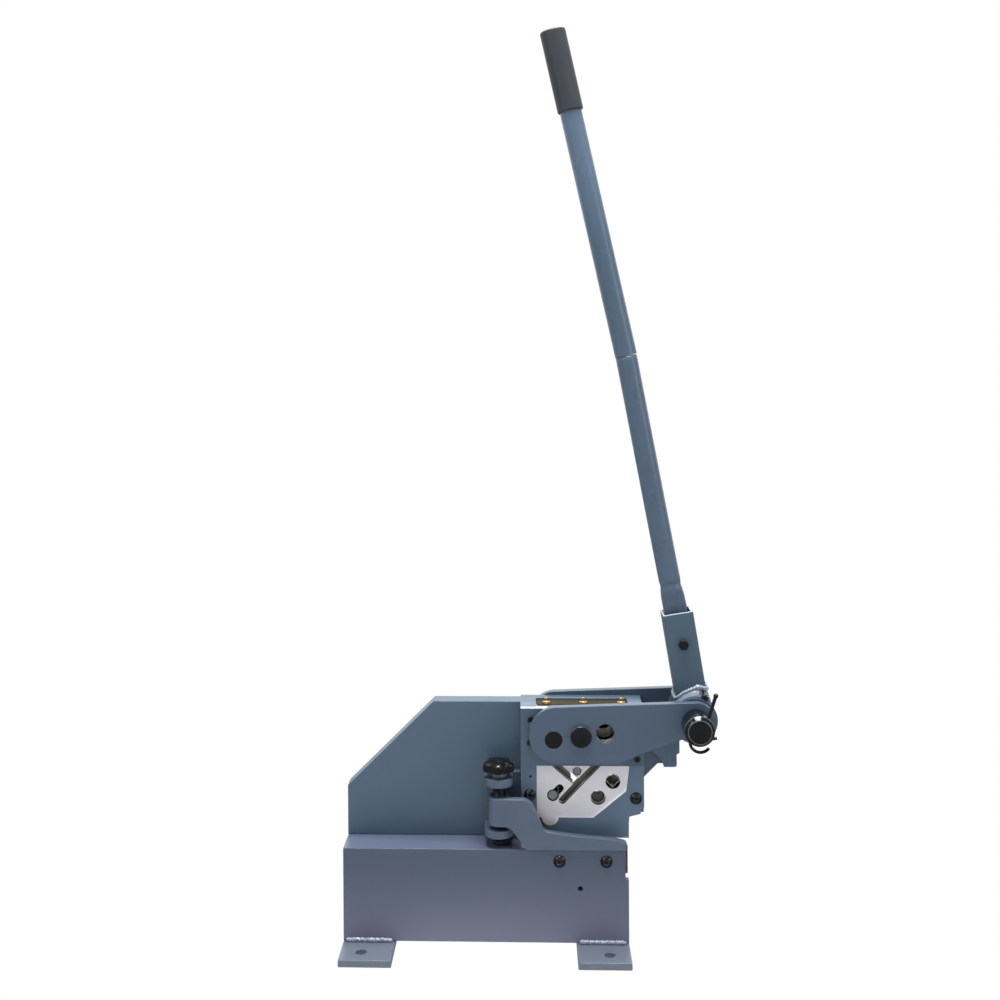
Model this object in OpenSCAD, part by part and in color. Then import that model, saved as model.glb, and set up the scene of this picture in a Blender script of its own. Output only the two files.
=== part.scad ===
// Manual ironworker: a bench shear for flat, angle, round and square bar.
// Millimetres. +X is to the operator's right, +Y away from the operator, +Z up.
// The origin is the centre of the foot bolt pattern, on the surface the feet stand on.

/* [Base] */
// Length of the base channel along X
base_len = 400; // [390:1:430]
// Depth of the base channel along Y
base_depth = 110; // [106:1:130]
// Height of the base top above the bench
base_top = 140; // [134:1:150]
// Thickness of the base walls and top
base_wall = 8; // [6:0.5:9]
// Height of the low rear wall behind the throat
rear_wall_top = 95; // [60:1:110]
// Width of each foot bar along X
foot_w = 73; // [66:1:80]
// Length of each foot bar along Y
foot_len = 226; // [215:1:260]
// Thickness of each foot bar
foot_t = 10; // [8:0.5:14]
// Radius of the foot bolt holes
foot_hole_r = 7.5; // [5:0.5:9]
// Distance from the foot hole centre to the end of the base, along X
foot_hole_inset = 29; // [22:1:40]
// Distance from the foot hole centre to the end of the foot, along Y
foot_hole_end = 25; // [16:1:30]
// Leg of the weld fillets under the base
weld_leg = 6; // [4:0.5:8]

/* [Frame plate] */
// Thickness of the frame plate
frame_t = 28; // [26:0.5:30]
// Thickness of the web left behind the slide
web_t = 8; // [7:0.5:9]
// Height of the top of the head
head_top = 333; // [330:1:340]
// Height of the underside of the head
head_bottom = 182; // [180:1:184]
// Height of the ear's underside above the underside of the head
ear_rise = 63; // [62:0.5:64]
// Distance from the base's right end to the left side of the head
head_inset = 150; // [146:1:154]
// Width of the left guide strip
left_strip_w = 22.5; // [20:0.5:26]
// Width of the slide
slide_w = 130.3; // [129:0.1:131]
// Width of the right guide strip
right_strip_w = 21; // [19:0.5:24]
// Height where the rear shoulder chamfer starts on the left edge
shoulder_z = 211; // [190:1:240]
// X run of the shoulder chamfer
shoulder_run = 125; // [100:1:150]
// Reach of the ear past the head
ear_reach = 29; // [27:1:30]

/* [Layers] */
// Thickness of the spacer behind the front wall
spacer_t = 13; // [11:0.5:15]
// Thickness of the lower blade
lower_blade_t = 12; // [10:0.5:13]
// Thickness of the section guide plate and the apron
guide_t = 8; // [7:0.5:9]
// Thickness of the front and rear cover bands
cover_t = 8; // [7:0.5:9]
// Height of the cover bands
cover_h = 81; // [78:1:84]
// Depth from the shear plane to the bottom of the slide's channel
channel_depth = 39; // [38:0.5:40]
// Thickness of the moving blades
moving_t = 12; // [10:0.5:13]
// Sliding gap round the slide and its blades
slide_gap = 0.1; // [0.1:0.05:0.3]
// Thickness of each lever arm
arm_t = 12; // [10:0.5:13]
// Side gap between a lever arm and what lies beside it
arm_gap = 1; // [0.5:0.1:1.5]

/* [Blades] */
// Length of the lower blade
lower_blade_len = 150; // [146:1:154]
// Height of the lower blade
lower_blade_h = 40; // [36:1:44]
// Length of the blade end left bare by the notch in the wall
blade_notch = 4.5; // [3:0.5:6]
// Opening between the blades at the right end
blade_opening = 5; // [4.6:0.1:5.1]
// Rise of the upper blade's edge from right to left
blade_rake = 1; // [0.5:0.1:1.3]
// Height of the upper blade at its right end
upper_blade_h = 32; // [30:0.5:33]
// Height of the blade bolts above the bench
blade_bolt_z = 124; // [118:1:127]
// Distance from the lower blade's left end to its first bolt
blade_bolt_inset = 53.5; // [48:0.5:58]
// Distance between the two blade bolts
blade_bolt_gap = 65.4; // [60:0.2:70]

/* [Section shear] */
// Width of the angle and tee slot
section_slot_w = 10.5; // [9:0.5:11]
// Radius of the round bar hole in the guide plate
round_hole_r = 10.5; // [9:0.5:11]
// Radius of the square bar hole in the guide plate
square_hole_r = 10.5; // [9:0.5:11]
// Side of the square cut-out in the moving blade
square_side = 14; // [12:0.5:14.5]
// Radius of the locating pin between the slot's legs
upper_pin_r = 5.2; // [4.5:0.1:5.4]
// Radius of the locating pin in the keyhole
lower_pin_r = 6.5; // [5.5:0.1:7]

/* [Lever] */
// Distance from the head's left side to the fulcrum pin
fulcrum_inset = 46.4; // [45:0.2:48]
// Height of the fulcrum pin
fulcrum_z = 291.6; // [290:0.2:293]
// Distance from the fulcrum to the drive pin
drive_reach = 38.7; // [37:0.1:40]
// Distance from the fulcrum to the spare drive hole
spare_reach = 72.9; // [71:0.1:75]
// Slope of the row of pin holes, in degrees
pin_slope = 8.3; // [7:0.1:10]
// Radius of the fulcrum pin and the drive pin
pin_r = 12.5; // [11.5:0.1:13]
// Bore radius of the spare hole's bush
bush_r = 12.6; // [12:0.1:13]
// Wall of the spare hole's bush
bush_wall = 1.4; // [1.2:0.1:2]
// Radius of the domed head of the drive pin
drive_head_r = 15; // [14:0.5:17]
// Radius of the lever arm's left end
arm_r = 40; // [39:0.5:41]
// Radius of the lever arm's right end
arm_end_r = 29; // [28:0.5:30]

/* [Hub and crank] */
// Distance from the head's right side to the hub's axis
hub_reach = 71; // [70:0.5:73]
// Height of the hub's axis
hub_z = 316; // [315:0.5:318]
// Radius of the hub
hub_r = 32; // [31.5:0.5:33]
// Radius of the hub's core between its two discs
core_r = 16.4; // [15.5:0.1:16.5]
// Radius of the shaft inside the hub and arms
shaft_r = 12; // [10:0.5:13]
// Radius of the shaft's nose
nose_r = 21; // [20:0.2:24]
// Length of the shaft's nose
nose_len = 41.5; // [36:0.5:46]
// Throw of the crank pin
crank_r = 25; // [24.6:0.1:25.4]
// Radius of the crank pin
crank_pin_r = 6; // [5:0.1:6.2]
// Radius of the crank roller
roller_r = 8; // [7.5:0.1:8.2]
// Thickness of the reaction bracket
bracket_t = 10; // [9:0.5:11]
// Swing of the handle against the arms, in degrees
handle_swing = 74; // [60:1:76]
// Rock of the arms over the full swing, in degrees
arms_rock = 9.55; // [9.3:0.05:9.8]

/* [Nose pins] */
// Radius of the rod that stands in the nose
rod_r = 2.5; // [2.2:0.1:3]
// Height of the rod's end above the shaft's axis
rod_up = 45.4; // [40:0.5:50]
// Lean of the rod to the right, in degrees
rod_lean = 18; // [10:0.5:25]
// Distance of the rod to the right of the shaft's axis
rod_shift = 9.1; // [6:0.1:11]
// Radius of the hairpin clip's wire
wire_r = 2.1; // [1.8:0.1:2.3]
// Radius of the hairpin clip's bow
bow_r = 14.3; // [13.9:0.1:14.7]
// Slope of the hairpin clip's straight leg, in degrees
clip_slope = 10.9; // [6:0.1:14]
// Distance from the nose's face to the rod and the clip
pins_inset = 18; // [12:0.5:22]

/* [Handle] */
// Width of the handle socket along X
socket_w = 43; // [43:1:48]
// Depth of the handle socket along Y
socket_d = 43; // [40:1:48]
// Wall of the handle socket
socket_wall = 3.5; // [3:0.25:3.75]
// Distance from the hub's axis to the top of the socket
socket_len = 149.6; // [145:0.5:156]
// Sideways offset of the socket from the hub's axis
socket_shift = 2.5; // [0:0.5:4]
// Lean of the socket to the left, in degrees
socket_lean = 9.15; // [7:0.05:11]
// Distance from the hub's axis to the socket bolt
socket_bolt_h = 105; // [98:0.5:108]
// Lean of the lower tube to the left, in degrees
lower_lean = 10.6; // [9.6:0.1:11]
// Radius of the lower tube
lower_tube_r = 15.5; // [15:0.1:16]
// Distance from the socket bolt to the seam of the two tubes
lower_tube_len = 415.5; // [380:0.5:460]
// Height of the flattened end above the socket bolt
flat_len = 64.5; // [60:0.5:74]
// Thickness of the flattened end
flat_t = 22; // [20:0.5:23]
// Width of the flattened end
flat_w = 33.4; // [31:0.2:33.6]
// Lean of the upper tube to the left, in degrees
upper_lean = 12.4; // [11:0.1:14]
// Radius of the upper tube
upper_tube_r = 16; // [15.5:0.1:17]
// Wall of both handle tubes
tube_wall = 2.5; // [2:0.1:3]
// Distance from the seam to the top of the grip
upper_len = 479; // [440:1:520]
// Length of the spigot inside the upper tube
spigot_len = 60; // [40:1:80]
// Length of the grip
grip_len = 120; // [100:1:140]
// Radius of the grip
grip_r = 18.7; // [18:0.1:20]

/* [Hold-down] */
// Distance from the head's left side to the axis of the hold-down screw
screw_inset = 31.3; // [30:0.1:33]
// Distance from the frame plate's face to the screw's axis
screw_reach = 34; // [33:0.5:35]
// Radius of the hold-down screw
screw_r = 9; // [8:0.1:9.5]
// Radius of the bracket's lugs
lug_r = 20; // [18.5:0.5:21]
// Thickness of the bracket's lugs
lug_t = 11.5; // [10:0.5:12]
// Height of the underside of the upper lug
upper_lug_z = 225; // [223:1:228]
// Height of the underside of the lower lug
lower_lug_z = 154; // [152:1:156]
// Height of the arm's head
hold_head_h = 39; // [36:1:41]
// Height of the arm's head above the base top
hold_head_lift = 32; // [30:1:34]
// Thickness of the hold-down arm
hold_t = 12; // [10:0.5:13]
// Radius of the arm's round head
hold_head_r = 14; // [13:0.2:16]
// Lift of the hold-down arm at the top of its travel
hold_travel = 12; // [8:1:13]
// Outer radius of the star knob
knob_r = 23; // [21:0.5:25]
// Height of the star knob
knob_h = 18; // [16:0.5:20]

/* [Fasteners] */
// Radius of the button heads
button_r = 8.8; // [8:0.1:9.2]
// Height of the button heads
button_h = 5; // [4:0.2:6]
// Radius of the bolt shanks
bolt_r = 5; // [4:0.1:5.5]
// Radius of the hexagon sockets
socket_hex_r = 3.4; // [3:0.1:3.8]

/* [Hidden] */
$fn = 96;

paint = "#5A6A7C";
foot_paint = "#7E8A9C";
bare = "#C2C4C8";
black = "#1B1C1E";
brass = "#C89B3C";
blade_steel = "#5B5048";

// Clearance of a pin or shaft in its bore
fit = 0.05;
// Cut that passes clear of a face
over = 1;
// Gap between touching faces of two bodies
rest_gap = 0.3;

// Layers along Y, from the front wall to the rear arm
front_y = -base_depth / 2;
spacer_y = front_y + base_wall;
blade_y = spacer_y + spacer_t;
shear_y = blade_y + lower_blade_t;
guide_y = shear_y - guide_t;
cover_y = guide_y - cover_t;
front_arm_y = cover_y - arm_gap - arm_t;
moving_y = shear_y + slide_gap;
slide_y = moving_y + moving_t;
web_y = shear_y + channel_depth;
slide_t = web_y - slide_gap - slide_y;
frame_back_y = web_y + web_t;
frame_y = frame_back_y - frame_t;
rear_cover_y = frame_back_y;
rear_arm_y = rear_cover_y + cover_t + arm_gap;
hub_y0 = front_arm_y + arm_t + arm_gap;
hub_y1 = rear_arm_y - arm_gap;
arms_back_y = rear_arm_y + arm_t;

// Places along X
base_x1 = base_len / 2;
head_x0 = base_x1 - head_inset;
slot_x0 = head_x0 + left_strip_w;
slide_x0 = slot_x0 + slide_gap;
slot_x1 = slide_x0 + slide_w + slide_gap;
head_x1 = slot_x1 + right_strip_w;
ear_x1 = head_x1 + ear_reach;
foot_hole_x = base_x1 - foot_hole_inset;
foot_hole_y = foot_len / 2 - foot_hole_end;
blade_x0 = base_x1 - lower_blade_len;
blade_bolt_x = blade_x0 + blade_bolt_inset;
fulcrum_x = head_x0 + fulcrum_inset;
hub_x = head_x1 + hub_reach;
screw_x = head_x0 - screw_inset;
cover_z0 = head_top - cover_h;

// Travel of the slide
drive_x = fulcrum_x + drive_reach * cos(pin_slope);
drive_z = fulcrum_z + drive_reach * sin(pin_slope);
spare_x = fulcrum_x + spare_reach * cos(pin_slope);
spare_z = fulcrum_z + spare_reach * sin(pin_slope);
slide_drop = drive_reach * (sin(pin_slope) - sin(pin_slope - arms_rock));
spare_drop = spare_reach * (sin(pin_slope) - sin(pin_slope - arms_rock));

// Crank pin at rest: its swing is even about the horizontal
crank_angle = 180 + (handle_swing + arms_rock) / 2;
crank_x = hub_x + crank_r * cos(crank_angle);
crank_z = hub_z + crank_r * sin(crank_angle);
fork_gap = roller_r + 0.9;

// The reaction bracket lies on the ear's face, inside the hub's groove
bracket_y = frame_y - bracket_t;
groove_y0 = bracket_y - arm_gap;
groove_y1 = frame_y + arm_gap;
fork_x1 = hub_x - core_r - 2.6;
ear_z0 = head_bottom + ear_rise;

// Upper blade and section blade
upper_blade_z = base_top + blade_opening;
section_z0 = upper_blade_z + upper_blade_h + 1;
slide_top = head_top - 2;

// Section shear layout: shares of the slide's width and of the head's height
keyhole = in_slide(0.17575, 0.16954);
key_end = in_slide(0.24942, 0.23642);
tee_foot = in_slide(0.27782, 0.12384);
tee_top = in_slide(0.70606, 0.50530);
tee_left = in_slide(0.15349, 0.49868);
tee_join = in_slide(0.45050, 0.27748);
round_at = in_slide(0.66385, 0.15099);
square_at = in_slide(0.82502, 0.30265);
upper_pin_at = in_slide(0.43822, 0.39669);
lobe_at = in_slide(0.14351, -0.03444);
lobe_r = 12;
guide_bottom = head_bottom - 6;
guide_corner = [in_slide(0.61167, 0)[0], guide_bottom];
guide_cut = [slot_x1 - 4, head_bottom + 32];

// Hold-down
screw_y = frame_y - screw_reach;
hold_y = front_y - 4;
hold_z0 = base_top + hold_head_lift;
knob_z0 = upper_lug_z + lug_t + 7.5;
spine_t = 12;
spine_w = 55;

// Bolts of the cover bands and the strips, as X and Z
cover_bolt_at = [
  [head_x0 + 15, head_top - 17],
  [head_x0 + 13.4, head_top - 49],
  [head_x1 - 10.5, head_top - 17],
  [head_x1 - 10.5, cover_z0 + 9.6],
];
strip_bolt_at = [
  [head_x0 + 12.9, head_bottom + 26],
  [head_x1 - 11.5, head_bottom + 22],
];
screw_at = [
  [slot_x0 + 14, upper_blade_z + upper_blade_h - 9],
  [slot_x0 + 62, upper_blade_z + upper_blade_h - 9],
  [slot_x1 - 14, upper_blade_z + upper_blade_h - 9],
];
bracket_bolt_at = [
  [head_x1 + 18, ear_z0 + 32],
  [head_x1 + 40, ear_z0 + 8],
];
oiler_x = [for (share = [0.11205, 0.51727, 0.93323]) in_slide(share, 0)[0]];

// A point at a share of the slide's width and a share of the head's height
function in_slide(across, up) = [slot_x0 + across * slide_w, head_bottom + up * (head_top - head_bottom)];

// An outline in X and Z, raised from y along +Y by t
module layer(y, t) {
  translate([0, y + t, 0])
    rotate([90, 0, 0])
      linear_extrude(t)
        children();
}

// A round bar along Y
module bar_y(x, z, r, y0, y1) {
  translate([x, y1, z])
    rotate([90, 0, 0])
      cylinder(r = r, h = y1 - y0);
}

// A box from its two corners
module block(low, high) {
  translate(low)
    cube(high - low);
}

// A straight slot outline with round ends
module slot_2d(a, b, w) {
  run = norm(b - a);
  translate(a)
    rotate(atan2(b[1] - a[1], b[0] - a[0]))
      union() {
        translate([0, -w / 2])
          square([run, w]);
        circle(d = w);
        translate([run, 0])
          circle(d = w);
      }
}

// Clearance for a pin that travels straight down past a fixed plate
module drop_slot(x, z, r, drop) {
  slot_2d([x, z], [x, z - drop], 2 * r);
}

// A button head bolt along Y: its head sits on the face y and its shank runs to y1
module button_bolt(x, z, y, y1) {
  head_sphere = (button_r * button_r + button_h * button_h) / (2 * button_h);
  difference() {
    union() {
      intersection() {
        bar_y(x, z, button_r, y - button_h, y);
        translate([x, y - button_h + head_sphere, z])
          sphere(r = head_sphere);
      }
      bar_y(x, z, bolt_r, y, y1);
    }
    translate([x, y - button_h + 3, z])
      rotate([90, 0, 0])
        cylinder(r = socket_hex_r, h = button_h + over, $fn = 6);
  }
}

// The angle and tee slot, a long leg and a short leg that meet
module tee_2d(w) {
  slot_2d(tee_foot, tee_top, w);
  slot_2d(tee_left, tee_join, w);
}

// The holes that stock goes through behind the guide plate, at the width of each layer
module section_holes(slot_w, hole_r, side) {
  tee_2d(slot_w);
  translate(round_at)
    circle(r = hole_r);
  translate(square_at)
    rotate(45)
      square(side, center = true);
}

// Outline of the section guide plate
module guide_2d(grow) {
  difference() {
    union() {
      polygon([
        [slot_x0 - grow, guide_bottom - grow],
        [guide_corner[0] + grow, guide_bottom - grow],
        [guide_cut[0] + grow, guide_cut[1] - grow],
        [slot_x1 + grow, guide_cut[1] + 30],
        [slot_x1 + grow, head_top],
        [slot_x0 - grow, head_top],
      ]);
      translate(lobe_at)
        circle(r = lobe_r + grow);
    }
  }
}

// Blank of a lever arm: two round ends, a straight top and a belly that rises to the hub
module arm_blank(y) {
  left = [fulcrum_x + 5.6, fulcrum_z + 6.4];
  right = [hub_x, hub_z];
  run = norm(right - left);
  along = atan2(right[1] - left[1], right[0] - left[0]);
  spread = acos((arm_r - arm_end_r) / run);
  up = [cos(along + spread), sin(along + spread)];
  inner_r = arm_r - 0.15;
  union() {
    bar_y(left[0], left[1], arm_r, y, y + arm_t);
    bar_y(right[0], right[1], arm_end_r, y, y + arm_t);
    layer(y, arm_t)
      polygon([
        left + inner_r * up,
        right + (arm_end_r - 0.15) * up,
        right,
        right + [-12, -20],
        left + [inner_r * 2.87, -inner_r * 0.64],
        left + [inner_r * 2.15, -inner_r],
        left + [0, -inner_r],
      ]);
  }
}

// A bent tube piece from a point, leaning left
module leaning(x, z, lean) {
  translate([x, 0, z])
    rotate([0, -lean, 0])
      children();
}

module foot(side) {
  color(foot_paint)
    difference() {
      block(
        [side * base_x1 - (side > 0 ? foot_w : 0), -foot_len / 2, 0],
        [side * base_x1 + (side > 0 ? 0 : foot_w), foot_len / 2, foot_t]
      );
      for (end = [-1, 1])
        translate([side * foot_hole_x, end * foot_hole_y, -over])
          cylinder(r = foot_hole_r, h = foot_t + 2 * over);
    }
}

module left_foot() {
  foot(-1);
}

module right_foot() {
  foot(1);
}

// Fillet welds along both long edges of the base, over each foot
module foot_welds() {
  color(foot_paint)
    for (side = [-1, 1], end = [-1, 1])
      translate([side * (base_x1 - foot_w / 2) - foot_w / 2 + 2, end * base_depth / 2, foot_t])
        rotate([90, 0, 90])
          linear_extrude(foot_w - 4)
            polygon([[0, 0], [end * weld_leg, 0], [0, weld_leg]]);
}

// Channel with a top over its left part; the right part is open under the throat
module base_channel() {
  inner = base_depth / 2 - base_wall;
  color(paint)
    difference() {
      block([-base_x1, front_y, foot_t], [base_x1, -front_y, base_top]);
      block(
        [-base_x1 + base_wall, -inner, foot_t - over],
        [base_x1 + over, inner, base_top - base_wall]
      );
      block([blade_x0, -inner, foot_t], [base_x1 + over, inner, base_top + over]);
      block(
        [blade_x0, inner - over, rear_wall_top],
        [base_x1 + over, -front_y + over, base_top + over]
      );
      block(
        [base_x1 - blade_notch, front_y - over, base_top - lower_blade_h],
        [base_x1 + over, front_y + base_wall + over, base_top + over]
      );
      for (i = [0, 1])
        bar_y(blade_bolt_x + i * blade_bolt_gap, blade_bolt_z, bolt_r, front_y - over, spacer_y + over);
      bar_y(base_screw_x, base_screw_z, 3.5, front_y - over, spacer_y + over);
    }
}

base_screw_x = blade_bolt_x + 29;
base_screw_z = blade_bolt_z - 38;

// Grub screw in the front wall, set a little below its face
module base_screw() {
  color(black)
    difference() {
      bar_y(base_screw_x, base_screw_z, 3.5, front_y + 1.5, spacer_y + 4);
      bar_y(base_screw_x, base_screw_z, 1.8, front_y, front_y + 4);
    }
}

module blade_spacer() {
  color(bare)
    difference() {
      block(
        [blade_x0, spacer_y, base_top - lower_blade_h],
        [base_x1 - blade_notch, blade_y, base_top]
      );
      for (i = [0, 1])
        bar_y(blade_bolt_x + i * blade_bolt_gap, blade_bolt_z, bolt_r, spacer_y - over, blade_y + over);
    }
}

module lower_blade() {
  color(blade_steel)
    difference() {
      block([blade_x0, blade_y, base_top - lower_blade_h], [base_x1, shear_y, base_top]);
      for (i = [0, 1])
        bar_y(blade_bolt_x + i * blade_bolt_gap, blade_bolt_z, bolt_r, blade_y - over, shear_y + over);
    }
}

nut_t = 8;
nut_r = 9.8;

module lower_blade_bolts() {
  color(black)
    for (i = [0, 1])
      button_bolt(blade_bolt_x + i * blade_bolt_gap, blade_bolt_z, front_y, shear_y + nut_t + 2);
}

module lower_blade_nuts() {
  color(black)
    for (i = [0, 1])
      difference() {
        translate([blade_bolt_x + i * blade_bolt_gap, shear_y + nut_t, blade_bolt_z])
          rotate([90, 0, 0])
            cylinder(r = nut_r, h = nut_t, $fn = 6);
        bar_y(
          blade_bolt_x + i * blade_bolt_gap, blade_bolt_z, bolt_r, shear_y - over, shear_y + nut_t + over
        );
      }
}

// C-shaped plate: a neck on the base, a head over the throat and an ear for the reaction bracket.
// A channel is milled in the head's face for the slide, and a web is left behind it.
module frame_plate() {
  color(paint)
    difference() {
      layer(frame_y, frame_t)
        polygon([
          [-base_x1, base_top],
          [head_x0 + 4, base_top],
          [head_x0 + 4, head_bottom - 8],
          [head_x0 + 12, head_bottom],
          [head_x1, head_bottom],
          [head_x1, head_bottom + 41],
          [head_x1 + 22, ear_z0],
          [ear_x1 + 17, ear_z0],
          [ear_x1 + 17, ear_z0 + 14],
          [ear_x1, ear_z0 + 19],
          [ear_x1, ear_z0 + 55],
          [head_x1, head_top - 15],
          [head_x1, head_top],
          [-base_x1 + shoulder_run, head_top],
          [-base_x1, shoulder_z],
        ]);
      block([slot_x0, frame_y - over, head_bottom - over], [slot_x1, web_y, head_top + over]);
      layer(web_y - over, web_t + 2 * over)
        union() {
          section_holes(section_slot_w + 3, round_hole_r - 1.7, square_side - 1);
          drop_slot(drive_x, drive_z, pin_r + 1.5, slide_drop);
          drop_slot(spare_x, spare_z, pin_r + 1.5, spare_drop);
        }
      bar_y(fulcrum_x, fulcrum_z, pin_r + fit, web_y - over, frame_back_y + over);
      for (at = concat(cover_bolt_at, strip_bolt_at))
        bar_y(at[0], at[1], bolt_r, frame_y - over, frame_y + 16);
      for (at = bracket_bolt_at)
        bar_y(at[0], at[1], 3, frame_y - over, frame_y + 13);
      bar_y(upper_pin_at[0], upper_pin_at[1], upper_pin_r, web_y - over, frame_back_y + over);
      bar_y(keyhole[0], keyhole[1], lower_pin_r, web_y - over, frame_back_y + over);
    }
}

module left_guide_strip() {
  color(paint)
    difference() {
      block([head_x0, guide_y, guide_bottom + 2], [slot_x0, frame_y, head_top]);
      for (at = [cover_bolt_at[0], cover_bolt_at[1], strip_bolt_at[0]])
        bar_y(at[0], at[1], bolt_r, guide_y - over, frame_y + over);
      bar_y(strip_bolt_at[0][0] + 0.8, strip_bolt_at[0][1] + 26.2, 1.6, guide_y - over, guide_y + 6);
    }
}

module right_guide_strip() {
  color(paint)
    difference() {
      block([slot_x1, shear_y, head_bottom], [head_x1, frame_y, head_top]);
      for (at = [cover_bolt_at[2], cover_bolt_at[3], strip_bolt_at[1]])
        bar_y(at[0], at[1], bolt_r, shear_y - over, frame_y + over);
    }
}

// Fixed front plate: a flank at the right and an apron that hides the upper blade.
// Its pocket takes the section guide plate.
module apron_plate() {
  apron_z = base_top + 10.2;
  apron_x0 = lobe_at[0] - lobe_r + 1.3;
  color(paint)
    difference() {
      layer(guide_y, guide_t)
        difference() {
          polygon([
            [apron_x0 + 5.5, apron_z + 4],
            [guide_corner[0] + 9.3, apron_z],
            [slot_x1 - 2, apron_z],
            [slot_x1, head_bottom - 4],
            [slot_x1 + 15.9, head_bottom],
            [slot_x1 + 16.6, head_bottom + 7],
            [head_x1, head_bottom + 9],
            [head_x1, head_top],
            [apron_x0, head_top],
            [apron_x0, guide_bottom],
            [apron_x0 + 4, guide_bottom - 8],
          ]);
          guide_2d(0.15);
          translate([slot_x0, guide_bottom + 0.1])
            square([lobe_at[0] - slot_x0, head_top - guide_bottom]);
        }
      for (at = [cover_bolt_at[2], cover_bolt_at[3], strip_bolt_at[1]])
        bar_y(at[0], at[1], bolt_r, guide_y - over, shear_y + over);
    }
}

module section_guide_plate() {
  color(bare)
    difference() {
      layer(guide_y, guide_t)
        difference() {
          guide_2d(-0.15);
          tee_2d(section_slot_w);
          translate(round_at)
            circle(r = round_hole_r);
          translate(square_at)
            circle(r = square_hole_r);
          translate(keyhole)
            circle(r = lower_pin_r + 1.9);
          slot_2d(keyhole, key_end, 2 * lower_pin_r - 2);
          translate(upper_pin_at)
            circle(r = upper_pin_r + 1);
          drop_slot(drive_x, drive_z, pin_r + 1.5, slide_drop);
          drop_slot(spare_x, spare_z, pin_r + 1.5, spare_drop);
        }
      bar_y(fulcrum_x, fulcrum_z, pin_r + fit, guide_y - over, shear_y + over);
    }
}

// A cover band over the head, bored for the fulcrum and slotted for the drive pin
module cover_band(y) {
  difference() {
    layer(y, cover_t)
      difference() {
        translate([head_x0, cover_z0])
          square([head_x1 - head_x0, cover_h]);
        drop_slot(drive_x, drive_z, pin_r + 1.5, slide_drop);
        drop_slot(spare_x, spare_z, pin_r + 1.5, spare_drop);
      }
    bar_y(fulcrum_x, fulcrum_z, pin_r + fit, y - over, y + cover_t + over);
  }
}

module front_cover_band() {
  color(paint)
    difference() {
      cover_band(cover_y);
      for (at = cover_bolt_at)
        bar_y(at[0], at[1], bolt_r, cover_y - over, guide_y + over);
    }
}

module rear_cover_band() {
  color(paint)
    cover_band(rear_cover_y);
}

// The head bolts sit in the band on a thin seat, clear of the arm that passes in front
module cover_bolts() {
  color(black)
    for (at = cover_bolt_at)
      cover_bolt(at);
}

// A low socket head let into the band, because the arm passes 1 mm in front of it
module cover_bolt(at) {
  difference() {
    bar_y(at[0], at[1], bolt_r, cover_y + 0.2, frame_y + 15);
    translate([at[0], cover_y + 3.2, at[1]])
      rotate([90, 0, 0])
        cylinder(r = socket_hex_r, h = 3 + over, $fn = 6);
  }
}

module strip_bolts() {
  color(black)
    for (at = strip_bolt_at)
      button_bolt(at[0], at[1], guide_y, frame_y + 15);
}

// Two fixed pins that stand in the guide plate and are held in the web
module locating_pins() {
  color(bare) {
    bar_y(upper_pin_at[0], upper_pin_at[1], upper_pin_r, guide_y + 1, frame_back_y);
    bar_y(keyhole[0], keyhole[1], lower_pin_r, guide_y + 1, frame_back_y);
  }
}

// What the slide and its blade leave free for the fixed pins, as the slide drops past them
module fixed_pin_slots() {
  slot_2d([fulcrum_x, fulcrum_z], [fulcrum_x, fulcrum_z + slide_drop], 2 * pin_r + 2);
  slot_2d(upper_pin_at, upper_pin_at + [0, slide_drop], 2 * upper_pin_r + 1.6);
  slot_2d(keyhole, keyhole + [0, slide_drop], 2 * lower_pin_r + 1.6);
}

// Loose holes where the drive pin pushes the slide: the pin moves on an arc, the slide does not
module drive_holes() {
  for (at = [[drive_x, drive_z], [spare_x, spare_z]])
    translate(at)
      circle(r = pin_r + 0.6);
}

module slide() {
  slide_z0 = upper_blade_z + 5;
  color(blade_steel)
    difference() {
      layer(slide_y, slide_t)
        difference() {
          translate([slide_x0, slide_z0])
            square([slide_w, slide_top - slide_z0]);
          section_holes(section_slot_w + 2, round_hole_r - 0.8, square_side + 0.5);
          fixed_pin_slots();
          drive_holes();
        }
      for (at = screw_at)
        bar_y(at[0], at[1], 4, slide_y - over, slide_y + 14);
      for (x = oiler_x)
        translate([x, oiler_y, slide_top - 8])
          cylinder(r = 2.5, h = 8 + over);
    }
}

oiler_y = slide_y + 7;

// Hardened blade that cuts bar and section against the guide plate
module moving_section_blade() {
  color(bare)
    layer(moving_y, moving_t)
      difference() {
        translate([slide_x0, section_z0])
          square([slide_w, slide_top - section_z0]);
        section_holes(section_slot_w - 1, round_hole_r - 1, square_side);
        fixed_pin_slots();
        drive_holes();
      }
}

// Raked blade that cuts flat bar against the lower blade
module upper_blade() {
  color(blade_steel)
    difference() {
      layer(moving_y, moving_t)
        polygon([
          [slide_x0, upper_blade_z + blade_rake],
          [slide_x0 + slide_w, upper_blade_z],
          [slide_x0 + slide_w, upper_blade_z + upper_blade_h],
          [slide_x0, upper_blade_z + upper_blade_h],
        ]);
      for (at = screw_at)
        bar_y(at[0], at[1], 4, moving_y - over, moving_y + moving_t + over);
    }
}

// Flush screws that hold the upper blade to the slide
module blade_screws() {
  color(black)
    for (at = screw_at)
      difference() {
        bar_y(at[0], at[1], 4, moving_y + 0.5, slide_y + 13);
        translate([at[0], moving_y + 4, at[1]])
          rotate([90, 0, 0])
            cylinder(r = 2.3, h = 4, $fn = 6);
      }
}

// Brass oil cups in the top of the slide
module oilers() {
  color(brass)
    for (x = oiler_x)
      translate([x, oiler_y, slide_top])
        rotate_extrude()
          polygon([
            [0, -7], [2.5, -7], [2.5, 0], [5.5, 0], [5.5, 2], [3.4, 2.6],
            [2.5, 3.6], [2.5, 7], [1.6, 8.2], [0, 8.2],
          ]);
}

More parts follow.
